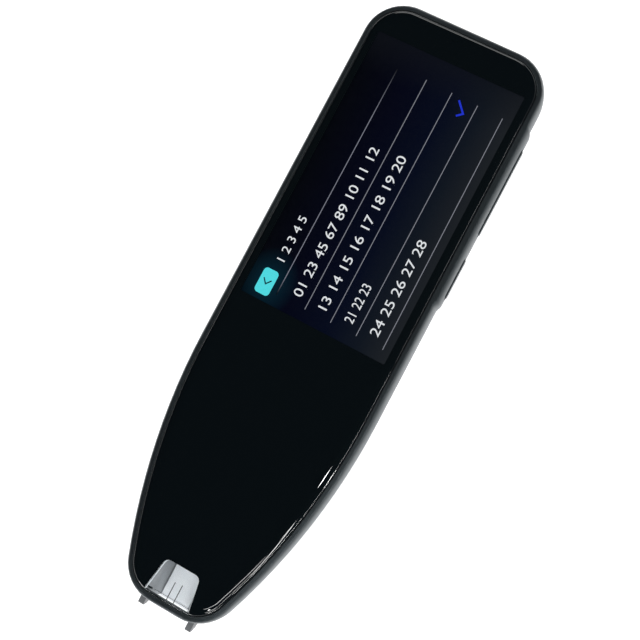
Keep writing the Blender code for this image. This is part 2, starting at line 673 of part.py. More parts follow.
def make_rear_cover():
    """Rear cover: crowned shell with a tongue, board posts, nib guides and the speaker grille."""
    parting = belly_share_at(PARTING_HEIGHT)
    step_share = (1.0 - parting) / BELLY_STEPS
    rings = [belly_ring(1.0 - step_share * step) for step in range(BELLY_STEPS)]
    rings.append(belly_ring(parting, pad=PAD_RISE))
    tongue_out = FRAME_INNER_SPREAD - CLEARANCE
    tongue_in = tongue_out - TONGUE_WIDTH
    tongue_top = PARTING_HEIGHT + TONGUE_HEIGHT
    rings.append(ring(tongue_out, PARTING_HEIGHT, 1.0))
    rings.append(ring(tongue_out, tongue_top, 1.0))
    rings.append(ring(tongue_in, tongue_top, 1.0))
    inner_parting = belly_share_at(PARTING_HEIGHT - CLEARANCE, COVER_WALL)
    inner_step = (1.0 - inner_parting) / BELLY_STEPS
    for step in range(BELLY_STEPS + 1):
        rings.append(belly_ring(inner_parting + inner_step * step, COVER_WALL))
    cover = loft("rear_cover", rings, "charcoal_plastic")
    root = COVER_WALL / 2
    for number, (across, along) in enumerate(post_places(), 1):
        post = add_cylinder(f"board_post_{number}", (across, along, root), (across, along, UNDER_BOARD),
                            POST_RADIUS, sides=SMALL_ROUND_SIDES)
        join(cover, post)
        pilot = add_cylinder(f"post_pilot_{number}", (across, along, UNDER_BOARD - PILOT_DEPTH),
                             (across, along, UNDER_BOARD + OVERRUN), SCREW_RADIUS + CLEARANCE,
                             sides=SMALL_ROUND_SIDES)
        cut(cover, pilot)
    pad_top = LENS_LEVEL - CAMERA_SIZE / 2 - CLEARANCE
    join(cover, plate("camera_pad", (0.0, CAMERA_MIDDLE), (CAMERA_PAD_WIDTH, CAMERA_PAD_LENGTH),
                      root, pad_top))
    for side, word in ((-1, "left"), (1, "right")):
        middle = (side * NIB_ARM_MIDDLE, SPRING_SEAT + SEAT_THICKNESS / 2)
        join(cover, plate(f"spring_seat_{word}", middle, (NIB_ARM_WIDTH, SEAT_THICKNESS), root,
                          NIB_ARM_LEVEL + NIB_ARM_HEIGHT))
        guide = side * (NIB_ARM_INSIDE + NIB_ARM_WIDTH + CLEARANCE + GUIDE_THICKNESS / 2)
        guide_size = (GUIDE_THICKNESS, GUIDE_TOP - GUIDE_END)
        join(cover, plate(f"nib_guide_{word}", (guide, (GUIDE_TOP + GUIDE_END) / 2), guide_size, root,
                          NIB_ARM_LEVEL + NIB_ARM_HEIGHT))
    for number in range(GRILLE_SLOTS):
        across = (number - (GRILLE_SLOTS - 1) / 2) * GRILLE_PITCH
        outline = rectangle((across, SPEAKER_PLACE), (GRILLE_SLOT_WIDTH, GRILLE_SLOT_LENGTH),
                            GRILLE_SLOT_WIDTH / 2 - CLEARANCE / 2)
        cut(cover, add_prism(f"grille_slot_{number + 1}", outline, "Z", -OVERRUN, COVER_WALL + CLEARANCE))
    cut(cover, socket_mouth("cover_socket_mouth"))
    cut(cover, tip_port("cover_tip_port"))
    shade_round(cover)


def make_display():
    """Display panel with its backlight under it, and the flex that joins it to the board."""
    middle = (0.0, PANEL_TOP - PANEL_LENGTH / 2)
    panel_top = LEDGE_HEIGHT
    panel_low = panel_top - PANEL_THICKNESS
    light_top = panel_low - CLEARANCE
    light_low = light_top - BACKLIGHT_THICKNESS
    outline = rectangle(middle, (PANEL_WIDTH, PANEL_LENGTH), PANEL_CORNER)
    add_prism("display_panel", outline, "Z", panel_low, panel_top, "screen")
    add_prism("backlight_unit", outline, "Z", light_low, light_top, "sheet_steel")
    start = middle[1] - PANEL_LENGTH / 2 - CLEARANCE
    upper = panel_low + FLEX_THICKNESS
    lower = SEAT_ON_BOARD + CONNECTOR_HEIGHT + CLEARANCE
    bend = start - FLEX_REACH
    lap = CONNECTOR_PLACE[1] - CONNECTOR_SIZE[1] / 2
    inner_bend = bend + FLEX_THICKNESS
    profile = [(start, upper), (start, panel_low), (inner_bend, panel_low), (inner_bend, lower),
               (lap, lower), (lap, lower + FLEX_THICKNESS), (bend, lower + FLEX_THICKNESS),
               (bend, upper)]
    add_prism("display_flex", profile, "X", -FLEX_WIDTH / 2, FLEX_WIDTH / 2, "flex_film")


def make_main_board():
    """Main board with the key tab, the socket's notch and its screw holes."""
    half = BOARD_WIDTH / 2
    notch_half = SOCKET_WIDTH / 2 + CLEARANCE
    notch_end = SOCKET_REAR - CLEARANCE
    tab_top = ROCKER_MIDDLE + ROCKER_LENGTH / 2 + KEY_TAB_MARGIN
    tab_end = BUTTON_MIDDLE - BUTTON_LENGTH / 2 - KEY_TAB_MARGIN
    corners = [(-half, BOARD_END), (half, BOARD_END), (half, tab_end), (KEY_TAB_REACH, tab_end),
               (KEY_TAB_REACH, tab_top), (half, tab_top), (half, BOARD_TOP),
               (notch_half, BOARD_TOP), (notch_half, notch_end), (-notch_half, notch_end),
               (-notch_half, BOARD_TOP), (-half, BOARD_TOP)]
    radii = [BOARD_CORNER, BOARD_CORNER, 0, 0, 0, 0, BOARD_CORNER, 0, 0, 0, 0, BOARD_CORNER]
    board = add_prism("main_board", rounded(corners, radii), "Z", BOARD_LEVEL, BOARD_FACE, "circuit_board")
    for number, (across, along) in enumerate(post_places(), 1):
        hole = add_cylinder(f"board_hole_{number}", (across, along, BOARD_LEVEL - OVERRUN),
                            (across, along, BOARD_FACE + OVERRUN), SCREW_RADIUS + CLEARANCE,
                            sides=SMALL_ROUND_SIDES)
        cut(board, hole)


def make_board_screws():
    """Four screws through the main board into the cover's posts, each a turned profile."""
    top = SEAT_ON_BOARD + SCREW_HEAD
    crown = SCREW_HEAD / 2
    profile = [(0.0, top), (SCREW_HEAD_RADIUS - crown / 2, top), (SCREW_HEAD_RADIUS, top - crown),
               (SCREW_HEAD_RADIUS, SEAT_ON_BOARD), (SCREW_RADIUS, SEAT_ON_BOARD),
               (SCREW_RADIUS, SEAT_ON_BOARD - SCREW_LENGTH + SCREW_RADIUS),
               (0.0, SEAT_ON_BOARD - SCREW_LENGTH)]
    for number, place in enumerate(post_places(), 1):
        shape = bmesh.new()
        chain = [shape.verts.new((radius, 0.0, height)) for radius, height in profile]
        for upper, lower in zip(chain, chain[1:]):
            shape.edges.new((upper, lower))
        screw = add_object(f"board_screw_{number}", shape, "sheet_steel")
        screw.location = (*place, 0.0)
        turn = screw.modifiers.new("turn", "SCREW")
        turn.steps = SMALL_ROUND_SIDES
        turn.render_steps = SMALL_ROUND_SIDES
        turn.use_merge_vertices = True
        turn.merge_threshold = SCREW_RADIUS / SMALL_ROUND_SIDES


def add_shield(name, place, size):
    """A pressed lid, open to the board."""
    shape = bmesh.new()
    scale = Matrix.Diagonal((*size, SHIELD_HEIGHT, 1.0))
    middle = (*place, SEAT_ON_BOARD + SHIELD_HEIGHT / 2)
    bmesh.ops.create_cube(shape, size=1.0, matrix=Matrix.Translation(middle) @ scale)
    under = [face for face in shape.faces if face.normal.z < -0.5]
    bmesh.ops.delete(shape, geom=under, context="FACES_ONLY")
    lid = add_object(name, shape, "sheet_steel")
    sheet = lid.modifiers.new("sheet", "SOLIDIFY")
    sheet.thickness = SHIELD_SHEET
    sheet.offset = -1.0


def make_board_parts():
    """Chips under their lids, the connectors and the side switches."""
    add_shield("processor_shield", PROCESSOR_SHIELD_PLACE, PROCESSOR_SHIELD_SIZE)
    add_shield("radio_shield", RADIO_SHIELD_PLACE, RADIO_SHIELD_SIZE)
    chip_top = SEAT_ON_BOARD + CHIP_THICKNESS
    plate("processor", PROCESSOR_SHIELD_PLACE, PROCESSOR_SIZE, SEAT_ON_BOARD, chip_top, "chip_plastic")
    plate("radio_chip", RADIO_SHIELD_PLACE, RADIO_CHIP_SIZE, SEAT_ON_BOARD, chip_top, "chip_plastic")
    plate("display_connector", CONNECTOR_PLACE, CONNECTOR_SIZE, SEAT_ON_BOARD,
          SEAT_ON_BOARD + CONNECTOR_HEIGHT, "chip_plastic")
    plate("battery_connector", BATTERY_PLUG_PLACE, BATTERY_PLUG_SIZE, SEAT_ON_BOARD,
          SEAT_ON_BOARD + CONNECTOR_HEIGHT, "white_plastic")
    plate("microphone", (MICROPHONE_PLACE, BOARD_TOP - MICROPHONE_SIZE[1] / 2), MICROPHONE_SIZE,
          SEAT_ON_BOARD, SEAT_ON_BOARD + MICROPHONE_HEIGHT, "sheet_steel")
    places = {"volume_up_switch": ROCKER_MIDDLE + PLUNGER_SPACING / 2,
              "volume_down_switch": ROCKER_MIDDLE - PLUNGER_SPACING / 2,
              "power_switch": BUTTON_MIDDLE}
    for name, along in places.items():
        add_side_switch(name, along)


def add_side_switch(name, along):
    """A side-push switch at the board's right edge, with its nub pointing at the key."""
    half = SWITCH_LENGTH / 2
    nub_half = SWITCH_NUB_SIZE / 2
    low = SWITCH_LEVEL - nub_half
    high = SWITCH_LEVEL + nub_half
    body = add_box(name, (SWITCH_FACE - SWITCH_WIDTH, along - half, SEAT_ON_BOARD),
                   (SWITCH_FACE, along + half, SEAT_ON_BOARD + SWITCH_HEIGHT), "sheet_steel")
    join(body, add_box(f"{name}_nub", (SWITCH_FACE - SWITCH_NUB, along - nub_half, low),
                       (NUB_FACE, along + nub_half, high)))


def make_battery():
    """Flat battery between the cover's floor and the board."""
    plate("battery", (0.0, BATTERY_TOP - BATTERY_LENGTH / 2), (BATTERY_WIDTH, BATTERY_LENGTH),
          SEAT_ON_COVER, UNDER_BOARD, "battery_foil", BATTERY_EDGE)


def make_speaker():
    """Speaker with its cone facing the grille, and the dust mesh between them."""
    place = (0.0, SPEAKER_PLACE)
    mesh_top = SEAT_ON_COVER + MESH_THICKNESS
    low = mesh_top + CLEARANCE
    plate("speaker_mesh", place, SPEAKER_SIZE, SEAT_ON_COVER, mesh_top, "sheet_steel")
    speaker = plate("speaker", place, SPEAKER_SIZE, low, UNDER_BOARD, "chip_plastic")
    cone = add_cylinder("speaker_cone", (0.0, SPEAKER_PLACE, low - OVERRUN),
                        (0.0, SPEAKER_PLACE, low + SPEAKER_CONE_DEPTH), SPEAKER_CONE_RADIUS)
    cut(speaker, cone)


def make_socket():
    """Charging socket: a pressed shell, closed at its rear, with the contact tongue inside."""
    outline = rectangle((0.0, SOCKET_LEVEL), (SOCKET_WIDTH, SOCKET_HEIGHT), SOCKET_HEIGHT / 2 - CLEARANCE)
    socket = add_prism("charging_socket", outline, "Y", SOCKET_REAR, SOCKET_FRONT, "sheet_steel")
    inside = (SOCKET_WIDTH - 2 * SOCKET_WALL, SOCKET_HEIGHT - 2 * SOCKET_WALL)
    bore = rectangle((0.0, SOCKET_LEVEL), inside, inside[1] / 2 - CLEARANCE)
    cut(socket, add_prism("socket_bore", bore, "Y", SOCKET_REAR + SOCKET_BACK, SOCKET_FRONT + OVERRUN))
    half = TONGUE_PLATE[0] / 2
    thick = TONGUE_PLATE[1] / 2
    join(socket, add_box("socket_tongue", (-half, SOCKET_REAR + SOCKET_BACK / 2, SOCKET_LEVEL - thick),
                         (half, SOCKET_FRONT - TONGUE_SETBACK, SOCKET_LEVEL + thick)))


def throat_section(along, top_width):
    """The throat's section at a place along the pen: floor, upright sides and a flaring top."""
    floor_half = THROAT_FLOOR_WIDTH / 2
    waist_half = THROAT_WAIST_WIDTH / 2
    top_half = top_width / 2
    low = SEAT_ON_COVER
    right = [(floor_half + THROAT_WALL, low), (waist_half + THROAT_WALL, THROAT_WAIST_LEVEL),
             (top_half + THROAT_WALL, LEDGE_HEIGHT), (top_half, LEDGE_HEIGHT),
             (waist_half, THROAT_WAIST_LEVEL), (floor_half, low + THROAT_FLOOR)]
    left = [(-across, height) for across, height in reversed(right)]
    return [(across, along, height) for across, height in right + left]


def make_throat():
    """Scanning throat: a pale channel under the window, with a white plate on its floor."""
    sections = [throat_section(THROAT_REAR, THROAT_REAR_WIDTH),
                throat_section(THROAT_MOUTH, THROAT_MOUTH_WIDTH)]
    throat = loft("scan_throat", sections, "pale_plastic")
    outer = THROAT_MOUTH_WIDTH / 2 + THROAT_WALL + OVERRUN
    rim = LEDGE_HEIGHT - THROAT_RIM_DROP
    cut(throat, add_box("throat_rim_cut", (-outer, THROAT_MOUTH - OVERRUN, rim),
                        (outer, THROAT_MOUTH + THROAT_RIM_SETBACK, LEDGE_HEIGHT + OVERRUN)))
    low = SEAT_ON_COVER + THROAT_FLOOR + CLEARANCE
    high = low + LIGHT_PLATE_THICKNESS
    half = THROAT_FLOOR_WIDTH / 2 - CLEARANCE
    white = add_box("light_plate", (-half, THROAT_MOUTH, low), (half, THROAT_REAR - CLEARANCE, high),
                    "white_plastic")
    groove_end = THROAT_MOUTH + LIGHT_PLATE_GROOVE_SETBACK
    cut(white, add_box("light_plate_groove", (-half - OVERRUN, groove_end, high - LIGHT_PLATE_GROOVE),
                       (half + OVERRUN, groove_end + 2 * LIGHT_PLATE_GROOVE, high + OVERRUN)))


def make_camera():
    """Light board with its two lamps, then lens, barrel, camera housing, camera board and flex."""
    half = LIGHT_BOARD_WIDTH / 2
    tall = LIGHT_BOARD_HEIGHT / 2
    board = add_box("light_board", (-half, LIGHT_BOARD_FRONT, LENS_LEVEL - tall),
                    (half, LIGHT_BOARD_BACK, LENS_LEVEL + tall), "circuit_board")
    axis = (0.0, LENS_LEVEL)
    cut(board, add_cylinder("light_port", (axis[0], LIGHT_BOARD_FRONT - OVERRUN, axis[1]),
                            (axis[0], LIGHT_BOARD_BACK + OVERRUN, axis[1]), LIGHT_PORT_RADIUS,
                            sides=ROUND_SIDES))
    lamp_front = LIGHT_BOARD_FRONT - CLEARANCE - LAMP_SIZE[1]
    for side, word in ((-1, "left"), (1, "right")):
        across = side * LAMP_SPACING / 2
        add_box(f"scan_lamp_{word}", (across - LAMP_SIZE[0] / 2, lamp_front, LAMP_LEVEL - LAMP_SIZE[2] / 2),
                (across + LAMP_SIZE[0] / 2, lamp_front + LAMP_SIZE[1], LAMP_LEVEL + LAMP_SIZE[2] / 2),
                "white_plastic")
    barrel = add_cylinder("lens_barrel", (0.0, BARREL_FRONT, LENS_LEVEL), (0.0, BARREL_BACK, LENS_LEVEL),
                          BARREL_RADIUS, "chip_plastic")
    bore = BARREL_RADIUS - BARREL_WALL
    cut(barrel, add_cylinder("barrel_bore", (0.0, BARREL_FRONT - OVERRUN, LENS_LEVEL),
                             (0.0, BARREL_BACK - BARREL_WALL, LENS_LEVEL), bore))
    shape = bmesh.new()
    lens_scale = Matrix.Diagonal((bore - CLEARANCE, LENS_THICKNESS / 2, bore - CLEARANCE, 1.0))
    lens_middle = (0.0, BARREL_FRONT + LENS_SETBACK + LENS_THICKNESS / 2, LENS_LEVEL)
    upright = Matrix.Rotation(math.pi / 2, 4, "X")
    bmesh.ops.create_uvsphere(shape, u_segments=ROUND_SIDES, v_segments=2 * FILLET_STEPS, radius=1.0,
                              matrix=Matrix.Translation(lens_middle) @ lens_scale @ upright)
    shade_round(add_object("lens", shape, "lens_glass"))
    reach = CAMERA_SIZE / 2
    add_box("camera_housing", (-reach, CAMERA_FRONT, LENS_LEVEL - reach),
            (reach, CAMERA_BACK, LENS_LEVEL + reach), "chip_plastic", CAMERA_EDGE)
    board_back = CAMERA_BACK + CLEARANCE + CAMERA_BOARD_THICKNESS
    wide = CAMERA_BOARD_SIZE[0] / 2
    tall = CAMERA_BOARD_SIZE[1] / 2
    add_box("camera_board", (-wide, CAMERA_BACK + CLEARANCE, LENS_LEVEL - tall),
            (wide, board_back, LENS_LEVEL + tall), "circuit_board")
    flex_half = CAMERA_FLEX_WIDTH / 2
    add_box("camera_flex", (-flex_half, board_back + CLEARANCE, SEAT_ON_BOARD),
            (flex_half, BOARD_END + CAMERA_FLEX_LAP, SEAT_ON_BOARD + FLEX_THICKNESS), "flex_film")


def make_nib_springs():
    """Two compression springs between the nib's arms and the cover's seats."""
    for side, word in ((-1, "left"), (1, "right")):
        curve = bpy.data.curves.new(f"nib_spring_{word}", "CURVE")
        curve.dimensions = "3D"
        curve.bevel_depth = SPRING_WIRE
        curve.bevel_resolution = 2
        curve.use_fill_caps = True
        curve.render_resolution_u = 0
        spline = curve.splines.new("POLY")
        count = SPRING_TURNS * SPRING_POINTS_PER_TURN
        spline.points.add(count)
        run = SPRING_LENGTH - 2 * SPRING_WIRE
        for index, point in enumerate(spline.points):
            angle = 2 * math.pi * index / SPRING_POINTS_PER_TURN
            along = SPRING_WIRE + run * index / count
            point.co = (SPRING_RADIUS * math.cos(angle), along, SPRING_RADIUS * math.sin(angle), 1.0)
        spring = bpy.data.objects.new(f"nib_spring_{word}", curve)
        spring.location = (side * NIB_ARM_MIDDLE, SPRING_FRONT, NIB_ARM_CENTRE)
        curve.materials.append(finish("spring_steel"))
        PEN.objects.link(spring)


def make_scan_nib():
    """Press-to-scan nib: a fork whose two feet stand out of the tip and meet the paper."""
    tip = TIP_END - NIB_FOOT_REACH
    low = NIB_ARM_LEVEL
    high = low + NIB_ARM_HEIGHT
    face = high - NIB_FOOT_FACE
    side_view = [(NIB_ARM_BACK, low), (NIB_ARM_BACK, high), (tip, high), (tip, face),
                 (tip + NIB_FOOT_RAKE, low)]
    profile = rounded(side_view, [0, 0, NIB_FOOT_FACE / 4, NIB_FOOT_FACE / 4, NIB_FOOT_FACE / 2])
    nib_origin = (0.0, NIB_ARM_BACK, NIB_ARM_CENTRE)
    inside = NIB_ARM_INSIDE
    outside = inside + NIB_ARM_WIDTH
    nib = add_prism("scan_nib", profile, "X", inside, outside, "grey_plastic", nib_origin)
    bridge_end = NIB_ARM_BACK - NIB_BRIDGE_LENGTH
    bridge_low = NIB_BRIDGE_LEVEL
    bridge_high = bridge_low + NIB_BRIDGE_THICKNESS
    join(nib, add_box("nib_bridge", (-outside, bridge_end, bridge_low),
                      (NIB_TAB_REACH, NIB_ARM_BACK - CLEARANCE, bridge_high)))
    join(nib, add_prism("nib_left_arm", profile, "X", -outside, -inside))
    for side, word in ((-1, "left"), (1, "right")):
        middle = (side * NIB_ARM_MIDDLE, (bridge_end + NIB_ARM_BACK) / 2)
        leg_size = (NIB_ARM_WIDTH - CLEARANCE, NIB_BRIDGE_LENGTH - 2 * CLEARANCE)
        join(nib, plate(f"nib_leg_{word}", middle, leg_size, bridge_low + NIB_BRIDGE_THICKNESS / 2,
                        NIB_ARM_CENTRE))
        start = (side * NIB_ARM_MIDDLE, NIB_ARM_BACK - OVERRUN, NIB_ARM_CENTRE)
        end = (side * NIB_ARM_MIDDLE, NIB_ARM_BACK + NIB_PEG_LENGTH, NIB_ARM_CENTRE)
        join(nib, add_cylinder(f"nib_peg_{word}", start, end, NIB_PEG_RADIUS, sides=SMALL_ROUND_SIDES))


def make_nib_switch():
    """Switch that the nib's tab presses at the end of its travel."""
    width, length, height = NIB_SWITCH_SIZE
    front = NIB_ARM_BACK + NIB_TRAVEL
    add_box("nib_switch", (NIB_TAB_REACH - width, front, NIB_SWITCH_LEVEL),
            (NIB_TAB_REACH, front + length, NIB_SWITCH_LEVEL + height), "chip_plastic")


def add_key(name, middle, length, flange_length, plungers):
    """A side key: rounded bar in its slot, flange behind the wall and plungers to the switches."""
    outer = HALF_WIDTH + SIDE_OVERHANG + PAD_RISE + KEY_PROUD
    outline = rectangle((middle, KEY_LEVEL), (length, KEY_HEIGHT), KEY_HEIGHT / 2 - CLEARANCE)
    key = add_prism(name, outline, "X", KEY_FLANGE_FACE - KEY_EDGE, outer, "key_plastic",
                    (KEY_PIVOT, middle, KEY_LEVEL))
    soften(key, KEY_EDGE)
    flange_half = KEY_HEIGHT / 2 + KEY_FLANGE_LIP
    join(key, add_box(f"{name}_flange", (KEY_PIVOT, middle - flange_length / 2, KEY_LEVEL - flange_half),
                      (KEY_FLANGE_FACE, middle + flange_length / 2, KEY_LEVEL + flange_half)))
    half = PLUNGER_SIZE / 2
    for number, along in enumerate(plungers, 1):
        low = (NUB_FACE + PLUNGER_GAP, along - half, KEY_LEVEL - half)
        join(key, add_box(f"{name}_plunger_{number}", low, (KEY_WALL, along + half, KEY_LEVEL + half)))


def make_keys():
    """Volume rocker and power button."""
    ends = [ROCKER_MIDDLE + side * PLUNGER_SPACING / 2 for side in (-1, 1)]
    add_key("volume_rocker", ROCKER_MIDDLE, ROCKER_LENGTH, ROCKER_FLANGE_LENGTH, ends)
    add_key("power_button", BUTTON_MIDDLE, BUTTON_LENGTH, BUTTON_LENGTH + 2 * KEY_FLANGE_LIP,
            [BUTTON_MIDDLE])


def main():
    """Build the pen."""
    make_front_glass()
    make_tip_window()
    make_front_frame()
    make_rear_cover()
    make_display()
    make_main_board()
    make_board_screws()
    make_board_parts()
    make_battery()
    make_speaker()
    make_socket()
    make_throat()
    make_camera()
    make_nib_springs()
    make_scan_nib()
    make_nib_switch()
    make_keys()


main()
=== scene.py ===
import math

import bmesh
import bpy
from mathutils import Matrix, Vector


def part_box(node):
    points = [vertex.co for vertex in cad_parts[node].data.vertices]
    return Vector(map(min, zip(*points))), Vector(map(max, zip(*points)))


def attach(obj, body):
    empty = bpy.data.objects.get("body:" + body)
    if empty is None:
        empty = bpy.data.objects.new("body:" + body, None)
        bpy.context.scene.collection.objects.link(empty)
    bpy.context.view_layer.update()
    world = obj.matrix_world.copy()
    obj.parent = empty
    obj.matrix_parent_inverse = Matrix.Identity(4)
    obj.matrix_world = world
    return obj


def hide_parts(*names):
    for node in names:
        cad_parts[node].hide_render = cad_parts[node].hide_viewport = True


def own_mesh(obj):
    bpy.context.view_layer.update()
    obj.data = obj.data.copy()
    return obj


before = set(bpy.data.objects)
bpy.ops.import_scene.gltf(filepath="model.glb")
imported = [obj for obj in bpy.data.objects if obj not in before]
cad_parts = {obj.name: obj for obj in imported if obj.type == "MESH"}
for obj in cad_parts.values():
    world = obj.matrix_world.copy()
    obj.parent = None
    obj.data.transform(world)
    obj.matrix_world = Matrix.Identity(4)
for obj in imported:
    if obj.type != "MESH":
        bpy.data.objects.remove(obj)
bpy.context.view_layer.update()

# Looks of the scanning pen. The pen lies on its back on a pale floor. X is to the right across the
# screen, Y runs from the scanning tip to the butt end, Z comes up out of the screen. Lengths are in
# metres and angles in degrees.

STARTING_OBJECTS = ("Cube", "Light", "Camera")

# Camera of the photograph, in the CAD frame
CAMERA_PLACE = (0.0407488, -0.0089989, 0.2339949)
CAMERA_RIGHT = (0.87268, 0.46829, -0.1383)
CAMERA_UP = (-0.45512, 0.8827, 0.11703)
CAMERA_BACK = (0.17689, -0.03919, 0.98345)
CAMERA_LENS = 56.967
CAMERA_SENSOR = 36.0
CAMERA_CLIP = (0.01, 50.0)

# Room that gloss and soft light meet: its colour at the horizon, the Z of direction from which it has the
# overhead colour instead, and its level, which is higher towards the keys' side
HORIZON = (0.86, 0.94, 1.0)
HORIZON_TOP = 0.36
OVERHEAD = (0.010, 0.014, 0.017)
HORIZON_LEVEL = 0.36
HORIZON_TILT = (0.28, -0.03, 0.0)

# Floor: its colour, the glow that takes it to white for the camera, and where it fades out
FLOOR_COLOUR = 0.56
FLOOR_MOTTLE = 0.02
FLOOR_GLOW = 0.62
FLOOR_FADE = (0.45, 1.1)
FLOOR_SIZE = 6.0
FLOOR_DROP = 0.0002

# Lamps that gloss shows: turn from +X towards +Y, rise, size, lean, radiance. The glass's rounded edge
# mirrors the first six as thin lines, the rim boxes light the housing's edge, the last two the pen's ends
EDGE_LAMPS = (("streak_box", -52.0, 78.8, (0.018, 0.028), 0.0, 42.0),
              ("line_box", -38.5, 52.0, (0.020, 0.32), 0.0, 10.0),
              ("spark_box", -42.0, 64.4, (0.030, 0.024), 0.0, 9.0),
              ("low_line_box", -55.0, 49.0, (0.36, 0.022), 22.0, 9.0),
              ("high_line_box", -72.0, 65.6, (0.25, 0.015), 0.0, 8.0),
              ("end_box", -75.0, 57.0, (0.024, 0.024), 0.0, 34.0),
              ("rim_box", 12.0, 20.0, (0.26, 0.05), 0.0, 4.0),
              ("mid_rim_box", -7.0, 20.0, (0.22, 0.035), 0.0, 17.0),
              ("low_rim_box", -27.0, 20.0, (0.30, 0.03), 0.0, 30.0),
              ("tip_rim_box", -52.0, 20.0, (0.30, 0.03), 0.0, 26.0),
              ("rim_streak_box", -14.0, 18.0, (0.045, 0.05), 0.0, 75.0),
              ("back_box", 105.0, 24.0, (0.50, 0.22), 0.0, 1.0),
              ("front_box", -103.0, 8.0, (0.45, 0.10), 0.0, 7.0))
LAMP_REACH = 0.8

# Soft lamps that no gloss shows: turn, rise, reach, size, radiance
SOFT_LAMPS = (("fill", 0.0, 90.0, 1.2, (1.5, 1.5), 3.0),
              ("tip_fill", -80.0, 42.0, 1.0, (0.6, 0.6), 1.8),
              ("butt_fill", 75.0, 40.0, 1.0, (0.5, 0.5), 2.0))

# Words of the Principled shader's sockets that aren't only capitalised
SOCKET_WORDS = {"ior": "IOR"}

# Clear faces: the share that they mirror seen straight on, and how it grows as they are seen flatter
STRAIGHT_ON_MIRROR = 0.04
GLANCING_POWER = 5.0
CLEAR_TINT = (0.985, 0.985, 0.985)

# Housing and keys: the tint of their gloss, and how much they lighten where they are seen edge on
PLASTIC_TINT = (0.80, 0.93, 1.0)
PLASTIC_BLOOM = 0.15
BLOOM_ROUGHNESS = 0.35

# Uneven colour: the share of a plastic's colour in its dark and light patches, of a metal's in its stains
# and of a lit line's in its weak spots
PLASTIC_MOTTLE = (0.86, 1.12)
METAL_STAIN = 0.8
INK_WEAKEST = 0.9
INK_OFF = (0.001, 0.001, 0.002)

# Lit part of the panel, and the clear opening over it in the cover glass's print: middle, half size and
# corner radius. Their edges are soft over LIT_FADE
LIT = ((-0.00027, 0.03127), (0.01831, 0.03357), 0.0003)
OPENING = ((-0.00005, 0.03102), (0.01835, 0.03352), 0.0004)
LIT_FADE = 0.00012

# The cover glass is clear below the first of these heights and printed above the second, so that its
# underside doesn't hide the panel
GLASS_UNDERSIDE = (0.01196, 0.01200)

# Ground edge of the cover glass: fades out between these heights
GROUND_EDGE = (0.01260, 0.01266)
GROUND_EDGE_COLOUR = (0.005, 0.006, 0.007)

# Lit panel: bands of colour over its width, and the washed-out end and the back key's glow on them
PANEL_ACROSS = (-0.0186, 0.0187)
PANEL_ALONG = (-0.002, 0.0655)
PANEL_BANDS = ((0.0, (0.0004, 0.0007, 0.0018)), (0.3, (0.0006, 0.0010, 0.0058)),
               (0.6, (0.0012, 0.0026, 0.0098)), (0.8, (0.0044, 0.0070, 0.0120)),
               (1.0, (0.0118, 0.0140, 0.0166)))
PANEL_LEVEL = 1.25
PANEL_UNLIT = (0.0014, 0.0025, 0.0032)
WASH_START = 0.85
WASH_SHARE = 0.7
GLOW_CENTRE = (-0.0139, 0.0019, 0.0)
GLOW_SHAPE = (1.0, 0.8, 0.0)
GLOW_REACH = (0.0025, 0.0068)
GLOW_SHARE = 0.34

# Smooth copies of the shells: weld distance, sharpest edge that is shaded round, and the decimals to which
# the points of an outline are told apart
WELD = 0.000001
SHARP_ANGLE = 38.0
OUTLINE_DECIMALS = 7

# Node that each smooth copy stands for, with the copy's name, its slot and the body that it rides on
SHELLS = (("front_glass", "cover_glass", "black_glass", "body"),
          ("front_frame", "front_shell", "charcoal_plastic", "body"),
          ("rear_cover", "rear_shell", "charcoal_plastic", "body"),
          ("tip_window", "clear_window", "clear_plastic", "body"),
          ("scan_throat", "throat_channel", "pale_plastic", "body"),
          ("scan_nib", "nib_fork", "grey_plastic", "scan_nib"),
          ("volume_rocker", "rocker_key", "key_plastic", "volume_rocker"),
          ("power_button", "power_key", "key_plastic", "power_button"))

# Cover glass at the butt end: how far it laps over the rim, the Y where that starts and over what length
# it grows, the height from which the rim gives way, and how far from the glass it stops doing so
BUTT_LAP = 0.0008
LAP_START = 0.050
LAP_RAMP = 0.012
LAP_LOWEST = 0.0115
LAP_FADE = (0.0004, 0.0020)

# Notch in the cover glass, closed up to the window that it holds: the Y of its end and of where its
# corners stop, half width there, how that grows towards the tip, how far each side comes in, how far
# beyond its edge a point still belongs to it, and what share of the way its end goes
NOTCH_TOP = -0.0620
NOTCH_CORNER = -0.0636
NOTCH_HALF = 0.00490
NOTCH_SLOPE = 0.1641
NOTCH_CLOSE = 0.00027
NOTCH_MARGIN = NOTCH_CLOSE / 3
NOTCH_SHARE = 0.9

# Thin shapes under the window and lit shapes on the display: the gap to what they lie on, and their
# thickness
SHAPE_GAP = 0.00004
SHAPE_THICKNESS = 0.00004

# White ring under the window's edge, a painted highlight for the bright line along the window's bevel: its
# inner edge as a share of the window's size, and the Y below which it is open. Marks under the window, by
# their low and
# high corner: two grey lines along the pen, a grey line across that is painted shade of a gap across the
# throat, and a dark dash that is painted shade of a slot. Two of them lie some layers lower
HIGHLIGHT_RING_INSET = 0.968
HIGHLIGHT_RING_OPEN = -0.0708
LENGTHWISE_MARKS = (((-0.00038, -0.0709), (-0.00016, -0.0663)), ((0.00137, -0.0709), (0.00159, -0.0661)))
CROSS_SHADE_LINE = ((-0.0038, -0.06993), (0.0052, -0.06983))
SHADE_DASH = ((-0.0054, -0.0702), (-0.0042, -0.0698))
MARK_LAYERS = 2
MARK_STEPS = 3

# Rules of the display's list: X at the start, X at the far end, Y of the far end. The header's rule comes
# up and goes out between four Y values
RULE_WIDTH = 0.00017
RULE_START = 0.0004
HEADER_RULE = (-0.0108, -0.0106, 0.0586)
HEADER_FADE = (0.0008, 0.0050, 0.0460, 0.0590)
RULES = ((-0.00345, -0.00345, 0.0592), (0.0031, 0.0031, 0.0590), (0.0096, 0.0096, 0.0588),
         (0.01625, 0.0159, 0.0585))
MARK_CORNER = RULE_WIDTH / 3

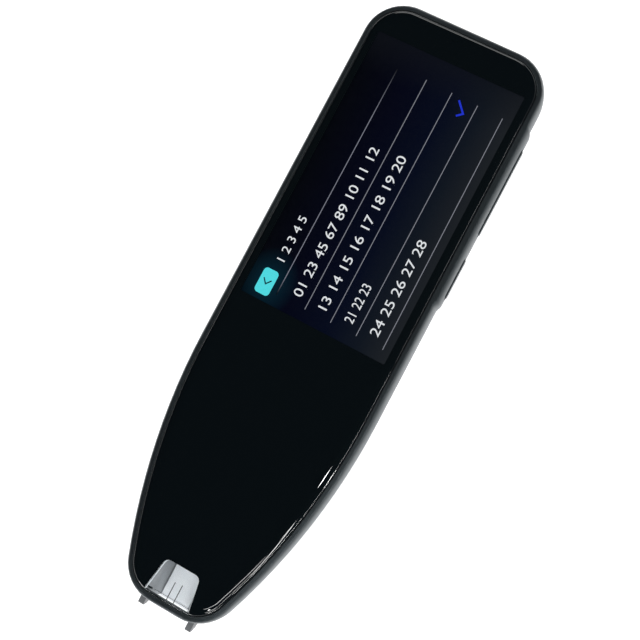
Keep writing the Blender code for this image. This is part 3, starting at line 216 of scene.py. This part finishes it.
# Back key and tick
BACK_KEY = ((-0.01605, -0.00105), (-0.01237, 0.00502))
BACK_KEY_CORNER = 0.0009
CHEVRON = ((-0.01518, 0.00261), (-0.0142, 0.00143), (-0.01322, 0.00261))
CHEVRON_WIDTH = 0.0003
CHEVRON_LAYERS = 1.5
TICK = ((0.0053, 0.05812), (0.00754, 0.05569), (0.0063, 0.05462))
TICK_WIDTH = 0.00045

# Labels, as plain numbers: words, X of the line's middle, Y of its start and end, height
HEADER_HEIGHT = 0.0020
ROW_START = 0.0023
ROW_HEIGHT = 0.0022
LABELS = (("screen_numbers_head", "1 2 3 4 5", -0.01365, 0.0077, 0.0189, HEADER_HEIGHT),
          ("screen_numbers_1", "01 23 45 67 89 10 11 12", -0.0065, ROW_START, 0.0402, ROW_HEIGHT),
          ("screen_numbers_2", "13 14 15 16 17 18 19 20", 0.0, ROW_START, 0.0411, ROW_HEIGHT),
          ("screen_numbers_3", "21 22 23", 0.0066, ROW_START, 0.0117, ROW_HEIGHT),
          ("screen_numbers_4", "24 25 26 27 28", 0.0130, ROW_START, 0.0260, ROW_HEIGHT))


class Nodes:
    """Short calls for the nodes of one shader tree, which start from one texture coordinate."""

    def __init__(self, tree, coordinate):
        self.tree = tree
        self.place = self.add("ShaderNodeTexCoord").outputs[coordinate]

    def add(self, kind, **settings):
        """A new node with these settings."""
        node = self.tree.nodes.new(kind)
        for key, value in settings.items():
            setattr(node, key, value)
        return node

    def feed(self, source, socket):
        """Link a socket, or set a plain value. A colour gets its alpha here."""
        if isinstance(source, bpy.types.NodeSocket):
            self.tree.links.new(source, socket)
        elif socket.type == "RGBA":
            socket.default_value = (*source, 1.0)
        else:
            socket.default_value = source

    def axis(self, letter):
        """One coordinate of the place."""
        split = self.add("ShaderNodeSeparateXYZ")
        self.feed(self.place, split.inputs[0])
        return split.outputs[letter]

    def maths(self, operation, a, b=0.0):
        """One operation on one or two numbers."""
        node = self.add("ShaderNodeMath", operation=operation)
        self.feed(a, node.inputs[0])
        self.feed(b, node.inputs[1])
        return node.outputs[0]

    def vector(self, operation, a, b=(0.0, 0.0, 0.0)):
        """One operation on one or two vectors."""
        node = self.add("ShaderNodeVectorMath", operation=operation)
        self.feed(a, node.inputs[0])
        self.feed(b, node.inputs[1])
        return node.outputs["Value"] if operation in ("LENGTH", "DOT_PRODUCT") else node.outputs["Vector"]

    def noise(self, scale, detail=2.0, rough=0.5, where=None):
        """Cloudy noise from 0 to 1, mostly near 0.5."""
        node = self.add("ShaderNodeTexNoise")
        self.feed(self.place if where is None else where, node.inputs["Vector"])
        node.inputs["Scale"].default_value = scale
        node.inputs["Detail"].default_value = detail
        node.inputs["Roughness"].default_value = rough
        return node.outputs["Fac"]

    def cells(self, scale):
        """Distance to the nearest of many scattered points."""
        node = self.add("ShaderNodeTexVoronoi")
        self.feed(self.place, node.inputs["Vector"])
        node.inputs["Scale"].default_value = scale
        return node.outputs["Distance"]

    def span(self, value, low, high, to_low=0.0, to_high=1.0):
        """Map low..high to to_low..to_high, held at the ends."""
        node = self.add("ShaderNodeMapRange")
        self.feed(value, node.inputs["Value"])
        node.inputs["From Min"].default_value = low
        node.inputs["From Max"].default_value = high
        node.inputs["To Min"].default_value = to_low
        node.inputs["To Max"].default_value = to_high
        return node.outputs["Result"]

    def stripes(self, value, rate, low, high):
        """Stripes along a value, rate of them to the metre: 0 along each one's middle, 1 between them."""
        wave = self.maths("FRACT", self.maths("MULTIPLY", value, rate))
        return self.span(self.maths("ABSOLUTE", self.maths("SUBTRACT", wave, 0.5)), low, high)

    def blend(self, factor, a, b, kind="MIX"):
        """Colour b laid over colour a by a share."""
        node = self.add("ShaderNodeMix", data_type="RGBA", blend_type=kind)
        self.feed(factor, node.inputs["Factor"])
        self.feed(a, node.inputs["A"])
        self.feed(b, node.inputs["B"])
        return node.outputs["Result"]

    def ramp(self, value, *stops):
        """Colours that follow a value from stop to stop."""
        node = self.add("ShaderNodeValToRGB")
        self.feed(value, node.inputs["Fac"])
        band = node.color_ramp
        while len(band.elements) < len(stops):
            band.elements.new(0.5)
        for element, (place, colour) in zip(band.elements, stops):
            element.position = place
            element.color = (*colour, 1.0)
        return node.outputs["Color"]

    def mixed(self, factor, first, second):
        """A shader that goes from the first to the second as the factor goes from 0 to 1."""
        node = self.add("ShaderNodeMixShader")
        self.feed(factor, node.inputs[0])
        self.feed(first, node.inputs[1])
        self.feed(second, node.inputs[2])
        return node.outputs[0]

    def clear_pane(self, tint, roughness):
        """A see-through face that mirrors more the flatter it is seen, alike from both sides."""
        clear = self.add("ShaderNodeBsdfTransparent")
        self.feed(tint, clear.inputs["Color"])
        gloss = self.add("ShaderNodeBsdfGlossy")
        self.feed(roughness, gloss.inputs["Roughness"])
        facing = self.add("ShaderNodeLayerWeight").outputs["Facing"]
        mirrored = self.span(self.maths("POWER", facing, GLANCING_POWER), 0.0, 1.0, STRAIGHT_ON_MIRROR, 1.0)
        return self.mixed(mirrored, clear.outputs[0], gloss.outputs[0])


class Look(Nodes):
    """A new material, which starts as one Principled shader."""

    def __init__(self, name):
        self.material = bpy.data.materials.new(name)
        self.material.use_nodes = True
        super().__init__(self.material.node_tree, "Object")
        self.shader = self.tree.nodes["Principled BSDF"]

    def set(self, **values):
        """Set the Principled shader's sockets: base_color becomes Base Color."""
        for key, value in values.items():
            words = [SOCKET_WORDS.get(word, word.capitalize()) for word in key.split("_")]
            self.feed(value, self.shader.inputs[" ".join(words)])

    def bump(self, height, depth):
        """Let the surface rise by up to the depth with a height from 0 to 1."""
        node = self.add("ShaderNodeBump")
        self.feed(height, node.inputs["Height"])
        node.inputs["Distance"].default_value = depth
        self.feed(node.outputs["Normal"], self.shader.inputs["Normal"])

    def cover_with(self, shader):
        """Make this shader the surface."""
        self.feed(shader, self.tree.nodes["Material Output"].inputs["Surface"])


def shaded(colour, share):
    """A colour made darker or lighter."""
    return tuple(v * share for v in colour)


def moulded_plastic(name, colour, roughness, grain, depth, tint=(1.0, 1.0, 1.0), bloom=0.0):
    """Spark-textured moulding: fine even grain, slight mottling, faint polish where hands rub. Its
    gloss takes the tint, and bloom is the dusty lightening where it is seen edge on."""
    look = Look(name)
    darker, lighter = (shaded(colour, share) for share in PLASTIC_MOTTLE)
    mottle = look.noise(180.0, 3.0)
    rubbed = look.noise(60.0, 4.0, 0.6)
    fine = look.noise(grain, 2.0, 0.6)
    rough = look.maths("ADD", look.span(rubbed, 0.35, 0.7, roughness - 0.05, roughness + 0.05),
                       look.span(fine, 0.3, 0.7, -0.03, 0.03))
    look.set(base_color=look.blend(look.span(mottle, 0.3, 0.7), darker, lighter), roughness=rough,
             specular_tint=tint, sheen_weight=bloom, sheen_roughness=BLOOM_ROUGHNESS, sheen_tint=tint)
    look.bump(fine, depth)
    return look


def inside(look, middle, half, corner):
    """1 inside an upright rectangle with round corners, 0 outside it, with a thin soft edge."""
    flat = look.vector("MULTIPLY", look.vector("SUBTRACT", look.place, (*middle, 0.0)), (1.0, 1.0, 0.0))
    inner = (half[0] - corner, half[1] - corner, 0.0)
    beyond = look.vector("MAXIMUM", look.vector("SUBTRACT", look.vector("ABSOLUTE", flat), inner))
    return look.span(look.vector("LENGTH", beyond), corner, corner + LIT_FADE, 1.0, 0.0)


def black_glass():
    """Cover glass with black print behind it, left clear over the lit display, and a ground edge."""
    look = Look("black_glass")
    height = look.axis("Z")
    ground = look.span(height, *GROUND_EDGE, 1.0, 0.0)
    rough = look.span(look.noise(45.0, 5.0, 0.65), 0.45, 0.75, 0.015, 0.045)
    print_colour = look.blend(look.noise(2200.0, 1.0), (0.0014, 0.0024, 0.0031), (0.0019, 0.0031, 0.0039))
    look.set(base_color=look.blend(ground, print_colour, GROUND_EDGE_COLOUR), roughness=rough, ior=1.5,
             coat_weight=1.0, coat_roughness=0.02, coat_ior=1.8)
    matt = look.add("ShaderNodeBsdfDiffuse")
    look.feed(GROUND_EDGE_COLOUR, matt.inputs["Color"])
    solid = look.mixed(ground, look.shader.outputs[0], matt.outputs[0])
    clear = look.maths("MAXIMUM", inside(look, *OPENING), look.span(height, *GLASS_UNDERSIDE, 1.0, 0.0))
    look.cover_with(look.mixed(clear, solid, look.clear_pane(CLEAR_TINT, rough)))
    return look


def screen():
    """Lit liquid-crystal panel: deep navy at the left, greyer to the right, glow by the back key."""
    look = Look("screen")
    across = look.span(look.axis("X"), *PANEL_ACROSS)
    along = look.span(look.axis("Y"), *PANEL_ALONG)
    base = look.ramp(across, *PANEL_BANDS)
    washed = look.blend(look.span(along, WASH_START, 1.0, 0.0, WASH_SHARE), base, (0.0045, 0.0055, 0.0080))
    grain = look.span(look.noise(900.0, 2.0), 0.2, 0.8, 0.0, 0.12)
    lit = look.blend(grain, washed, (0.006, 0.007, 0.010))
    from_key = look.vector("MULTIPLY", look.vector("SUBTRACT", look.place, GLOW_CENTRE), GLOW_SHAPE)
    glow = look.span(look.vector("LENGTH", from_key), *GLOW_REACH, GLOW_SHARE, 0.0)
    glowing = look.blend(glow, lit, (0.002, 0.030, 0.050))
    look.set(base_color=(0.0006, 0.0006, 0.0008), roughness=0.4, specular_ior_level=0.0,
             emission_color=look.blend(inside(look, *LIT), PANEL_UNLIT, glowing),
             emission_strength=PANEL_LEVEL)
    return look


def lit_ink(name, colour, fade=None):
    """Something bright that the display shows. fade gives the four Y values between which it comes up
    and goes out again."""
    look = Look(name)
    lit = look.blend(look.noise(2600.0, 1.0), colour, shaded(colour, INK_WEAKEST))
    if fade:
        along = look.axis("Y")
        level = look.maths("MULTIPLY", look.span(along, fade[0], fade[1]),
                           look.span(along, fade[2], fade[3], 1.0, 0.0))
        lit = look.blend(level, INK_OFF, lit)
    look.set(base_color=(0.004, 0.004, 0.004), roughness=0.4, specular_ior_level=0.0, emission_color=lit,
             emission_strength=1.0)
    return look


def clear_plastic():
    """Clear moulded window: see-through, glossy, with a faint cool tint."""
    look = Look("clear_plastic")
    tint = look.blend(look.noise(300.0, 2.0), (0.965, 0.975, 0.98), (0.985, 0.99, 0.992))
    rough = look.span(look.noise(80.0, 4.0), 0.4, 0.75, 0.04, 0.09)
    look.cover_with(look.clear_pane(tint, rough))
    return look


def lens_glass():
    """Coated lens: clear with a faint violet reflection."""
    look = Look("lens_glass")
    tint = look.blend(look.noise(400.0, 2.0), (0.60, 0.66, 0.82), (0.70, 0.70, 0.80))
    look.set(base_color=tint, roughness=0.03, ior=1.6, transmission_weight=0.9, coat_weight=0.5)
    return look


def metal(name, colour, roughness, stretch, grain):
    """Rolled or drawn metal: fine lines along one direction, uneven brightness."""
    look = Look(name)
    lines = look.vector("MULTIPLY", look.place, stretch)
    streak = look.noise(grain, 3.0, 0.6, lines)
    stain = look.span(look.noise(220.0, 3.0), 0.3, 0.75)
    look.set(base_color=look.blend(stain, colour, shaded(colour, METAL_STAIN)), metallic=1.0,
             roughness=look.span(streak, 0.3, 0.7, roughness - 0.08, roughness + 0.1))
    look.bump(streak, 0.000004)
    return look


def circuit_board():
    """Solder-masked board: tracks and dots under green lacquer."""
    look = Look("circuit_board")
    bend = look.noise(260.0, 1.0)
    bent = look.maths("ADD", look.axis("X"), look.maths("MULTIPLY", bend, 0.004))
    track = look.stripes(bent, 1400.0, 0.16, 0.24)
    dots = look.span(look.cells(900.0), 0.12, 0.18, 1.0, 0.0)
    lacquer = look.blend(track, (0.008, 0.060, 0.042), (0.006, 0.042, 0.030))
    look.set(base_color=look.blend(dots, lacquer, (0.45, 0.36, 0.16)),
             roughness=look.span(bend, 0.3, 0.7, 0.28, 0.4))
    look.bump(track, 0.00003)
    return look


def battery_foil():
    """Crinkled silver pouch foil."""
    look = Look("battery_foil")
    crease = look.noise(240.0, 5.0, 0.6)
    look.set(base_color=look.blend(look.span(crease, 0.3, 0.7), (0.42, 0.44, 0.45), (0.60, 0.62, 0.63)),
             metallic=0.85, roughness=look.span(crease, 0.3, 0.7, 0.28, 0.45))
    look.bump(crease, 0.00012)
    return look


def flex_film():
    """Amber flexible circuit film with copper tracks along it."""
    look = Look("flex_film")
    track = look.stripes(look.axis("X"), 2500.0, 0.2, 0.28)
    look.set(base_color=look.blend(track, (0.42, 0.17, 0.035), (0.24, 0.09, 0.02)),
             roughness=look.span(look.noise(500.0, 3.0), 0.3, 0.7, 0.32, 0.48))
    look.bump(track, 0.00001)
    return look


def white_plastic():
    """Diffusing white moulding."""
    look = Look("white_plastic")
    cloud = look.noise(260.0, 4.0, 0.6)
    look.set(base_color=look.blend(look.span(cloud, 0.3, 0.7), (0.78, 0.81, 0.84), (0.87, 0.89, 0.91)),
             roughness=look.span(cloud, 0.3, 0.7, 0.35, 0.5))
    look.bump(look.noise(3200.0, 2.0), 0.000012)
    return look


def finishes():
    """One finished material for each material slot of the record."""
    housing = ("charcoal_plastic", (0.0078, 0.0098, 0.0110), 0.40, 4200.0, 0.000014)
    key = ("key_plastic", (0.0056, 0.0072, 0.0082), 0.44, 4600.0, 0.00001)
    return {
        "black_glass": black_glass(),
        "clear_plastic": clear_plastic(),
        "charcoal_plastic": moulded_plastic(*housing, PLASTIC_TINT, PLASTIC_BLOOM),
        "key_plastic": moulded_plastic(*key, PLASTIC_TINT, PLASTIC_BLOOM),
        "grey_plastic": moulded_plastic("grey_plastic", (0.085, 0.09, 0.095), 0.42, 4200.0, 0.000014),
        "pale_plastic": moulded_plastic("pale_plastic", (0.40, 0.42, 0.44), 0.45, 4200.0, 0.000012),
        "white_plastic": white_plastic(),
        "screen": screen(),
        "circuit_board": circuit_board(),
        "sheet_steel": metal("sheet_steel", (0.62, 0.63, 0.64), 0.34, (1.0, 0.06, 1.0), 3000.0),
        "spring_steel": metal("spring_steel", (0.52, 0.52, 0.53), 0.3, (1.0, 1.0, 0.3), 5000.0),
        "chip_plastic": moulded_plastic("chip_plastic", (0.012, 0.012, 0.013), 0.55, 5200.0, 0.00001),
        "battery_foil": battery_foil(),
        "flex_film": flex_film(),
        "lens_glass": lens_glass(),
    }


def dress_nodes(looks):
    """Give every CAD node its finish."""
    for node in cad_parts.values():
        for spot in node.material_slots:
            spot.material = looks[spot.material.name.split(".")[0]].material


def new_piece(name, mesh, look, body="body"):
    """A piece with one finish that rides on a body."""
    piece = bpy.data.objects.new(name, mesh)
    bpy.context.scene.collection.objects.link(piece)
    mesh.materials.clear()
    mesh.materials.append(look.material)
    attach(piece, body)
    return piece


def smooth_copy(looks, node_name, piece_name, slot, body="body", reshape=None):
    """A copy of a CAD node that stands for it: its facets welded and shaded as the curves that they
    follow, and its points moved a little where reshape says."""
    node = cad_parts[node_name].data
    shape = bmesh.new()
    points = [shape.verts.new(v.co) for v in node.vertices]
    for face in node.polygons:
        shape.faces.new([points[k] for k in face.vertices])
    bmesh.ops.remove_doubles(shape, verts=shape.verts, dist=WELD)
    if reshape:
        for v in shape.verts:
            v.co = reshape(v.co)
    bmesh.ops.recalc_face_normals(shape, faces=shape.faces)
    mesh = bpy.data.meshes.new(piece_name)
    shape.to_mesh(mesh)
    shape.free()
    mesh.shade_smooth()
    mesh.set_sharp_from_angle(angle=math.radians(SHARP_ANGLE))
    piece = new_piece(piece_name, mesh, looks[slot], body)
    weighted = piece.modifiers.new("weighted_normals", "WEIGHTED_NORMAL")
    weighted.keep_sharp = True
    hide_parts(node_name)
    return piece


def share_of(value, low, high):
    """Where a value lies between two others, held to 0..1."""
    return max(0.0, min(1.0, (value - low) / (high - low)))


def distance_to(outline, point):
    """How far a point lies from the line of a closed flat outline."""
    gaps = []
    for k, start in enumerate(outline):
        side = outline[(k + 1) % len(outline)] - start
        share = share_of((point - start).dot(side), 0.0, max(side.length_squared, WELD * WELD))
        gaps.append((point - start - side * share).length)
    return min(gaps)


def outline_of(node_name, centre, lowest):
    """The outline of a node's underside, above some Y, in order round a centre."""
    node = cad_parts[node_name].data
    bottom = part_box(node_name)[0].z
    points = {(round(v.co.x, OUTLINE_DECIMALS), round(v.co.y, OUTLINE_DECIMALS)) for v in node.vertices
              if abs(v.co.z - bottom) < WELD and v.co.y > lowest}
    in_order = sorted(points, key=lambda p: math.atan2(p[1] - centre[1], p[0] - centre[0]))
    return [Vector(p) for p in in_order]


def lap(p):
    """How far the cover glass reaches beyond the plain solid at a point."""
    return BUTT_LAP * share_of(p.y, LAP_START, LAP_START + LAP_RAMP)


def closed_in(p, window):
    """A point of the notch's edge, moved in to the window."""
    if p.y > NOTCH_TOP or abs(p.x) > NOTCH_HALF + (NOTCH_CORNER - p.y) * NOTCH_SLOPE + NOTCH_MARGIN:
        return p
    if p.y < NOTCH_CORNER:
        return Vector((p.x - math.copysign(NOTCH_CLOSE, p.x), p.y, p.z))
    nearest = min(window, key=lambda q: (q - p.to_2d()).length)
    flat = p.to_2d().lerp(nearest, NOTCH_SHARE)
    return Vector((flat.x, flat.y, p.z))


def add_smooth_shells(looks):
    """The shells and keys with round shading. The cover glass reaches further over the rim at the
    butt end than the plain solid, and the rim gives way to it."""
    outline = outline_of("front_glass", (0.0, LAP_START), LAP_START)
    window = outline_of("tip_window", (0.0, NOTCH_CORNER), HIGHLIGHT_RING_OPEN)

    def longer(p):
        return closed_in(Vector((p.x, p.y + lap(p), p.z)), window)

    def narrower(p):
        if p.z < LAP_LOWEST or p.y < LAP_START:
            return p
        away = distance_to(outline, Vector((p.x, p.y)))
        return Vector((p.x, p.y + lap(p) * (1.0 - share_of(away, *LAP_FADE)), p.z))

    reshapes = {"front_glass": longer, "front_frame": narrower}
    for node_name, piece_name, slot, body in SHELLS:
        smooth_copy(looks, node_name, piece_name, slot, body, reshapes.get(node_name))


def add_nib_springs(looks):
    """The nib's springs: smooth copies that stay with the body, not the nib, each with a mesh of its own."""
    for side in ("left", "right"):
        node = "nib_spring_" + side
        coil = smooth_copy(looks, node, "nib_coil_" + side, "spring_steel")
        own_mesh(coil)


def thin_shape_mesh(name, outlines, bottom):
    """Thin flat shapes at one height."""
    shape = bmesh.new()
    for outline in outlines:
        low = [shape.verts.new((x, y, bottom)) for x, y in outline]
        high = [shape.verts.new((x, y, bottom + SHAPE_THICKNESS)) for x, y in outline]
        shape.faces.new(high)
        shape.faces.new(low[::-1])
        for k in range(len(outline)):
            n = (k + 1) % len(outline)
            shape.faces.new((low[k], low[n], high[n], high[k]))
    mesh = bpy.data.meshes.new(name)
    bmesh.ops.recalc_face_normals(shape, faces=shape.faces)
    shape.to_mesh(mesh)
    shape.free()
    return mesh


def rounded_box(low, high, corner, steps=8):
    """Outline of a rectangle with round corners."""
    points = []
    centres = ((high[0] - corner, high[1] - corner), (low[0] + corner, high[1] - corner),
               (low[0] + corner, low[1] + corner), (high[0] - corner, low[1] + corner))
    for quarter, (x, y) in enumerate(centres):
        for k in range(steps + 1):
            turn = math.pi / 2 * (quarter + k / steps)
            points.append((x + corner * math.cos(turn), y + corner * math.sin(turn)))
    return points


def stroke(points, width):
    """Outline of a bent line of three points, of one width, with a mitred elbow."""
    half = width / 2
    a, b, c = (Vector(p) for p in points)
    first = (b - a).normalized()
    second = (c - b).normalized()
    side_a = Vector((-first.y, first.x))
    side_c = Vector((-second.y, second.x))
    elbow = (side_a + side_c).normalized()
    reach = half / elbow.dot(side_a)
    left = [a + side_a * half, b + elbow * reach, c + side_c * half]
    right = [c - side_c * half, b - elbow * reach, a - side_a * half]
    return [(p.x, p.y) for p in left + right]


def number_mesh(name, words, across, start, end, height):
    """Plain numbers in one line that reads up the screen, stretched to fill start..end."""
    curve = bpy.data.curves.new(name, "FONT")
    curve.body = words
    curve.extrude = SHAPE_THICKNESS / 2
    thing = bpy.data.objects.new(name, curve)
    bpy.context.scene.collection.objects.link(thing)
    bpy.context.view_layer.update()
    mesh = bpy.data.meshes.new_from_object(thing.evaluated_get(bpy.context.evaluated_depsgraph_get()))
    bpy.data.objects.remove(thing, do_unlink=True)
    bpy.data.curves.remove(curve)
    xs = [v.co.x for v in mesh.vertices]
    ys = [v.co.y for v in mesh.vertices]
    wider = (end - start) / (max(xs) - min(xs))
    taller = height / (max(ys) - min(ys))
    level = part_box("display_panel")[1].z + SHAPE_GAP + SHAPE_THICKNESS / 2
    for v in mesh.vertices:
        along = (v.co.x - min(xs)) * wider
        up = (v.co.y - min(ys)) * taller
        v.co = Vector((across + height / 2 - up, start + along, level + v.co.z))
    mesh.update()
    return mesh


def add_window_marks(looks):
    """White ring round the window's edge, a painted highlight for its bright bevel, and the marks under the
    window, two of them painted shade. The rim's points are put in order as seen from beyond the tip, because
    the ring is open there."""
    low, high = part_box("tip_window")
    bottom = low.z - SHAPE_GAP - SHAPE_THICKNESS
    centre = Vector(((low.x + high.x) / 2, (low.y + high.y) / 2))
    rim = outline_of("tip_window", (centre.x, 2 * low.y - high.y), HIGHLIGHT_RING_OPEN)
    inner = [centre + (p - centre) * HIGHLIGHT_RING_INSET for p in rim]
    # The white ring is a painted highlight: it stands in for the bright line of light along the window's
    # bevel.
    highlight_ring = thin_shape_mesh("window_highlight_ring", [[tuple(p) for p in rim + inner[::-1]]], bottom)
    new_piece("window_highlight_ring", highlight_ring, looks["white_plastic"])
    under_highlight_ring = bottom - SHAPE_THICKNESS * MARK_LAYERS
    # Two grey lines along the pen under the window.
    marks = (("lengthwise_marks", LENGTHWISE_MARKS, bottom, "grey_plastic"),
             # Grey line across: painted shade of a gap across the throat.
             ("cross_shade_line", (CROSS_SHADE_LINE,), under_highlight_ring, "grey_plastic"),
             # Dark dash: painted shade of a slot in the throat's wall.
             ("shade_dash", (SHADE_DASH,), under_highlight_ring, "charcoal_plastic"))
    for name, boxes, level, slot in marks:
        outlines = [rounded_box(*box, MARK_CORNER, MARK_STEPS) for box in boxes]
        new_piece(name, thin_shape_mesh(name, outlines, level), looks[slot])


def add_display():
    """The list that the lit display shows, with plain numbers for its words."""
    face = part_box("display_panel")[1].z + SHAPE_GAP
    on_key = face + SHAPE_THICKNESS * CHEVRON_LAYERS
    grey = lit_ink("rule_light", (0.25, 0.26, 0.30))
    faint = lit_ink("header_rule_light", (0.24, 0.25, 0.31), HEADER_FADE)
    white = lit_ink("number_light", (0.84, 0.87, 0.90))
    cyan = lit_ink("back_key_light", (0.09, 0.80, 0.86))
    blue = lit_ink("tick_light", (0.012, 0.035, 0.66))
    dark = lit_ink("chevron_dark", (0.004, 0.035, 0.045))
    half = RULE_WIDTH / 2
    rules = []
    for near, far, end in (HEADER_RULE, *RULES):
        rules.append([(near - half, RULE_START), (near + half, RULE_START),
                      (far + half, end), (far - half, end)])
    drawn = (("screen_header_rule", rules[:1], face, faint),
             ("screen_rules", rules[1:], face, grey),
             ("screen_back_key", [rounded_box(*BACK_KEY, BACK_KEY_CORNER)], face, cyan),
             ("screen_chevron", [stroke(CHEVRON, CHEVRON_WIDTH)], on_key, dark),
             ("screen_tick", [stroke(TICK, TICK_WIDTH)], face, blue))
    for name, outlines, level, light in drawn:
        new_piece(name, thin_shape_mesh(name, outlines, level), light)
    for name, *line in LABELS:
        new_piece(name, number_mesh(name, *line), white)


def add_floor():
    """Pale floor that goes to white for the camera and keeps the pen's soft shadow."""
    look = Look("floor")
    pale = (FLOOR_COLOUR,) * 3
    paler = (FLOOR_COLOUR + FLOOR_MOTTLE,) * 3
    look.set(base_color=look.blend(look.noise(3.0, 3.0), pale, paler), roughness=0.9, specular_ior_level=0.0)
    path = look.add("ShaderNodeLightPath")
    mirrored = look.maths("MAXIMUM", path.outputs["Is Glossy Ray"], path.outputs["Is Transmission Ray"])
    seen = look.maths("MAXIMUM", path.outputs["Is Camera Ray"], mirrored)
    glow = look.add("ShaderNodeEmission")
    look.feed(look.maths("MULTIPLY", seen, FLOOR_GLOW), glow.inputs["Strength"])
    both = look.add("ShaderNodeAddShader")
    look.feed(look.shader.outputs[0], both.inputs[0])
    look.feed(glow.outputs[0], both.inputs[1])
    away = look.span(look.vector("LENGTH", look.place), *FLOOR_FADE)
    look.cover_with(look.mixed(away, both.outputs[0], look.add("ShaderNodeBsdfTransparent").outputs[0]))
    bpy.ops.mesh.primitive_plane_add(size=FLOOR_SIZE, location=(0.0, 0.0, -FLOOR_DROP))
    floor = bpy.context.object
    floor.name = "floor"
    floor.data.materials.append(look.material)


def add_world():
    """White behind the pen for the camera. Otherwise a studio that is dark overhead and bright low
    down, more so on the keys' side."""
    world = bpy.data.worlds.new("studio")
    bpy.context.scene.world = world
    world.use_nodes = True
    world.node_tree.nodes.clear()
    room = Nodes(world.node_tree, "Generated")
    colour = room.ramp(room.axis("Z"), (0.0, HORIZON), (HORIZON_TOP, OVERHEAD))
    level = room.maths("ADD", room.vector("DOT_PRODUCT", room.place, HORIZON_TILT), HORIZON_LEVEL)
    studio = room.add("ShaderNodeBackground")
    room.feed(room.blend(1.0, colour, level, "MULTIPLY"), studio.inputs["Color"])
    white = room.add("ShaderNodeBackground")
    room.feed((1.0, 1.0, 1.0), white.inputs["Color"])
    path = room.add("ShaderNodeLightPath")
    seen = room.mixed(path.outputs["Is Camera Ray"], studio.outputs[0], white.outputs[0])
    room.feed(seen, room.add("ShaderNodeOutputWorld").inputs["Surface"])


def add_lamp(name, turn, rise, reach, size, lean, glow, reflected=True):
    """An area lamp that faces the pen, at a compass turn and rise, leaning over to one side. glow is
    its radiance."""
    data = bpy.data.lights.new(name, "AREA")
    data.shape = "RECTANGLE"
    data.size, data.size_y = size
    data.energy = glow * math.pi * size[0] * size[1]
    lamp = bpy.data.objects.new(name, data)
    bpy.context.scene.collection.objects.link(lamp)
    level = math.cos(math.radians(rise))
    away = Vector((level * math.cos(math.radians(turn)), level * math.sin(math.radians(turn)),
                   math.sin(math.radians(rise))))
    lamp.location = away * reach
    facing = (-away).to_track_quat("-Z", "Y").to_matrix()
    lamp.rotation_euler = (facing @ Matrix.Rotation(math.radians(lean), 3, "Z")).to_euler()
    lamp.visible_glossy = reflected


def add_lamps():
    """Broad soft lamps that no gloss shows, and small boxes that draw the thin lines on the edges."""
    for name, turn, rise, reach, size, glow in SOFT_LAMPS:
        add_lamp(name, turn, rise, reach, size, 0.0, glow, reflected=False)
    for name, turn, rise, size, lean, glow in EDGE_LAMPS:
        add_lamp(name, turn, rise, LAMP_REACH, size, lean, glow)


def add_camera():
    """The camera where the photograph was taken from."""
    data = bpy.data.cameras.new("camera")
    data.sensor_width = CAMERA_SENSOR
    data.lens = CAMERA_LENS
    data.clip_start, data.clip_end = CAMERA_CLIP
    camera = bpy.data.objects.new("camera", data)
    bpy.context.scene.collection.objects.link(camera)
    columns = (Vector(CAMERA_RIGHT), Vector(CAMERA_UP), Vector(CAMERA_BACK))
    turn = Matrix(columns).transposed().to_4x4()
    camera.matrix_world = Matrix.Translation(CAMERA_PLACE) @ turn
    bpy.context.scene.camera = camera


def clear_start():
    """Remove what a new Blender file starts with."""
    for name in STARTING_OBJECTS:
        thing = bpy.data.objects.get(name)
        if thing:
            bpy.data.objects.remove(thing, do_unlink=True)


bpy.context.scene.view_settings.view_transform = "Standard"
clear_start()
add_camera()
LOOKS = finishes()
dress_nodes(LOOKS)
add_smooth_shells(LOOKS)
add_nib_springs(LOOKS)
add_window_marks(LOOKS)
add_display()
add_floor()
add_world()
add_lamps()
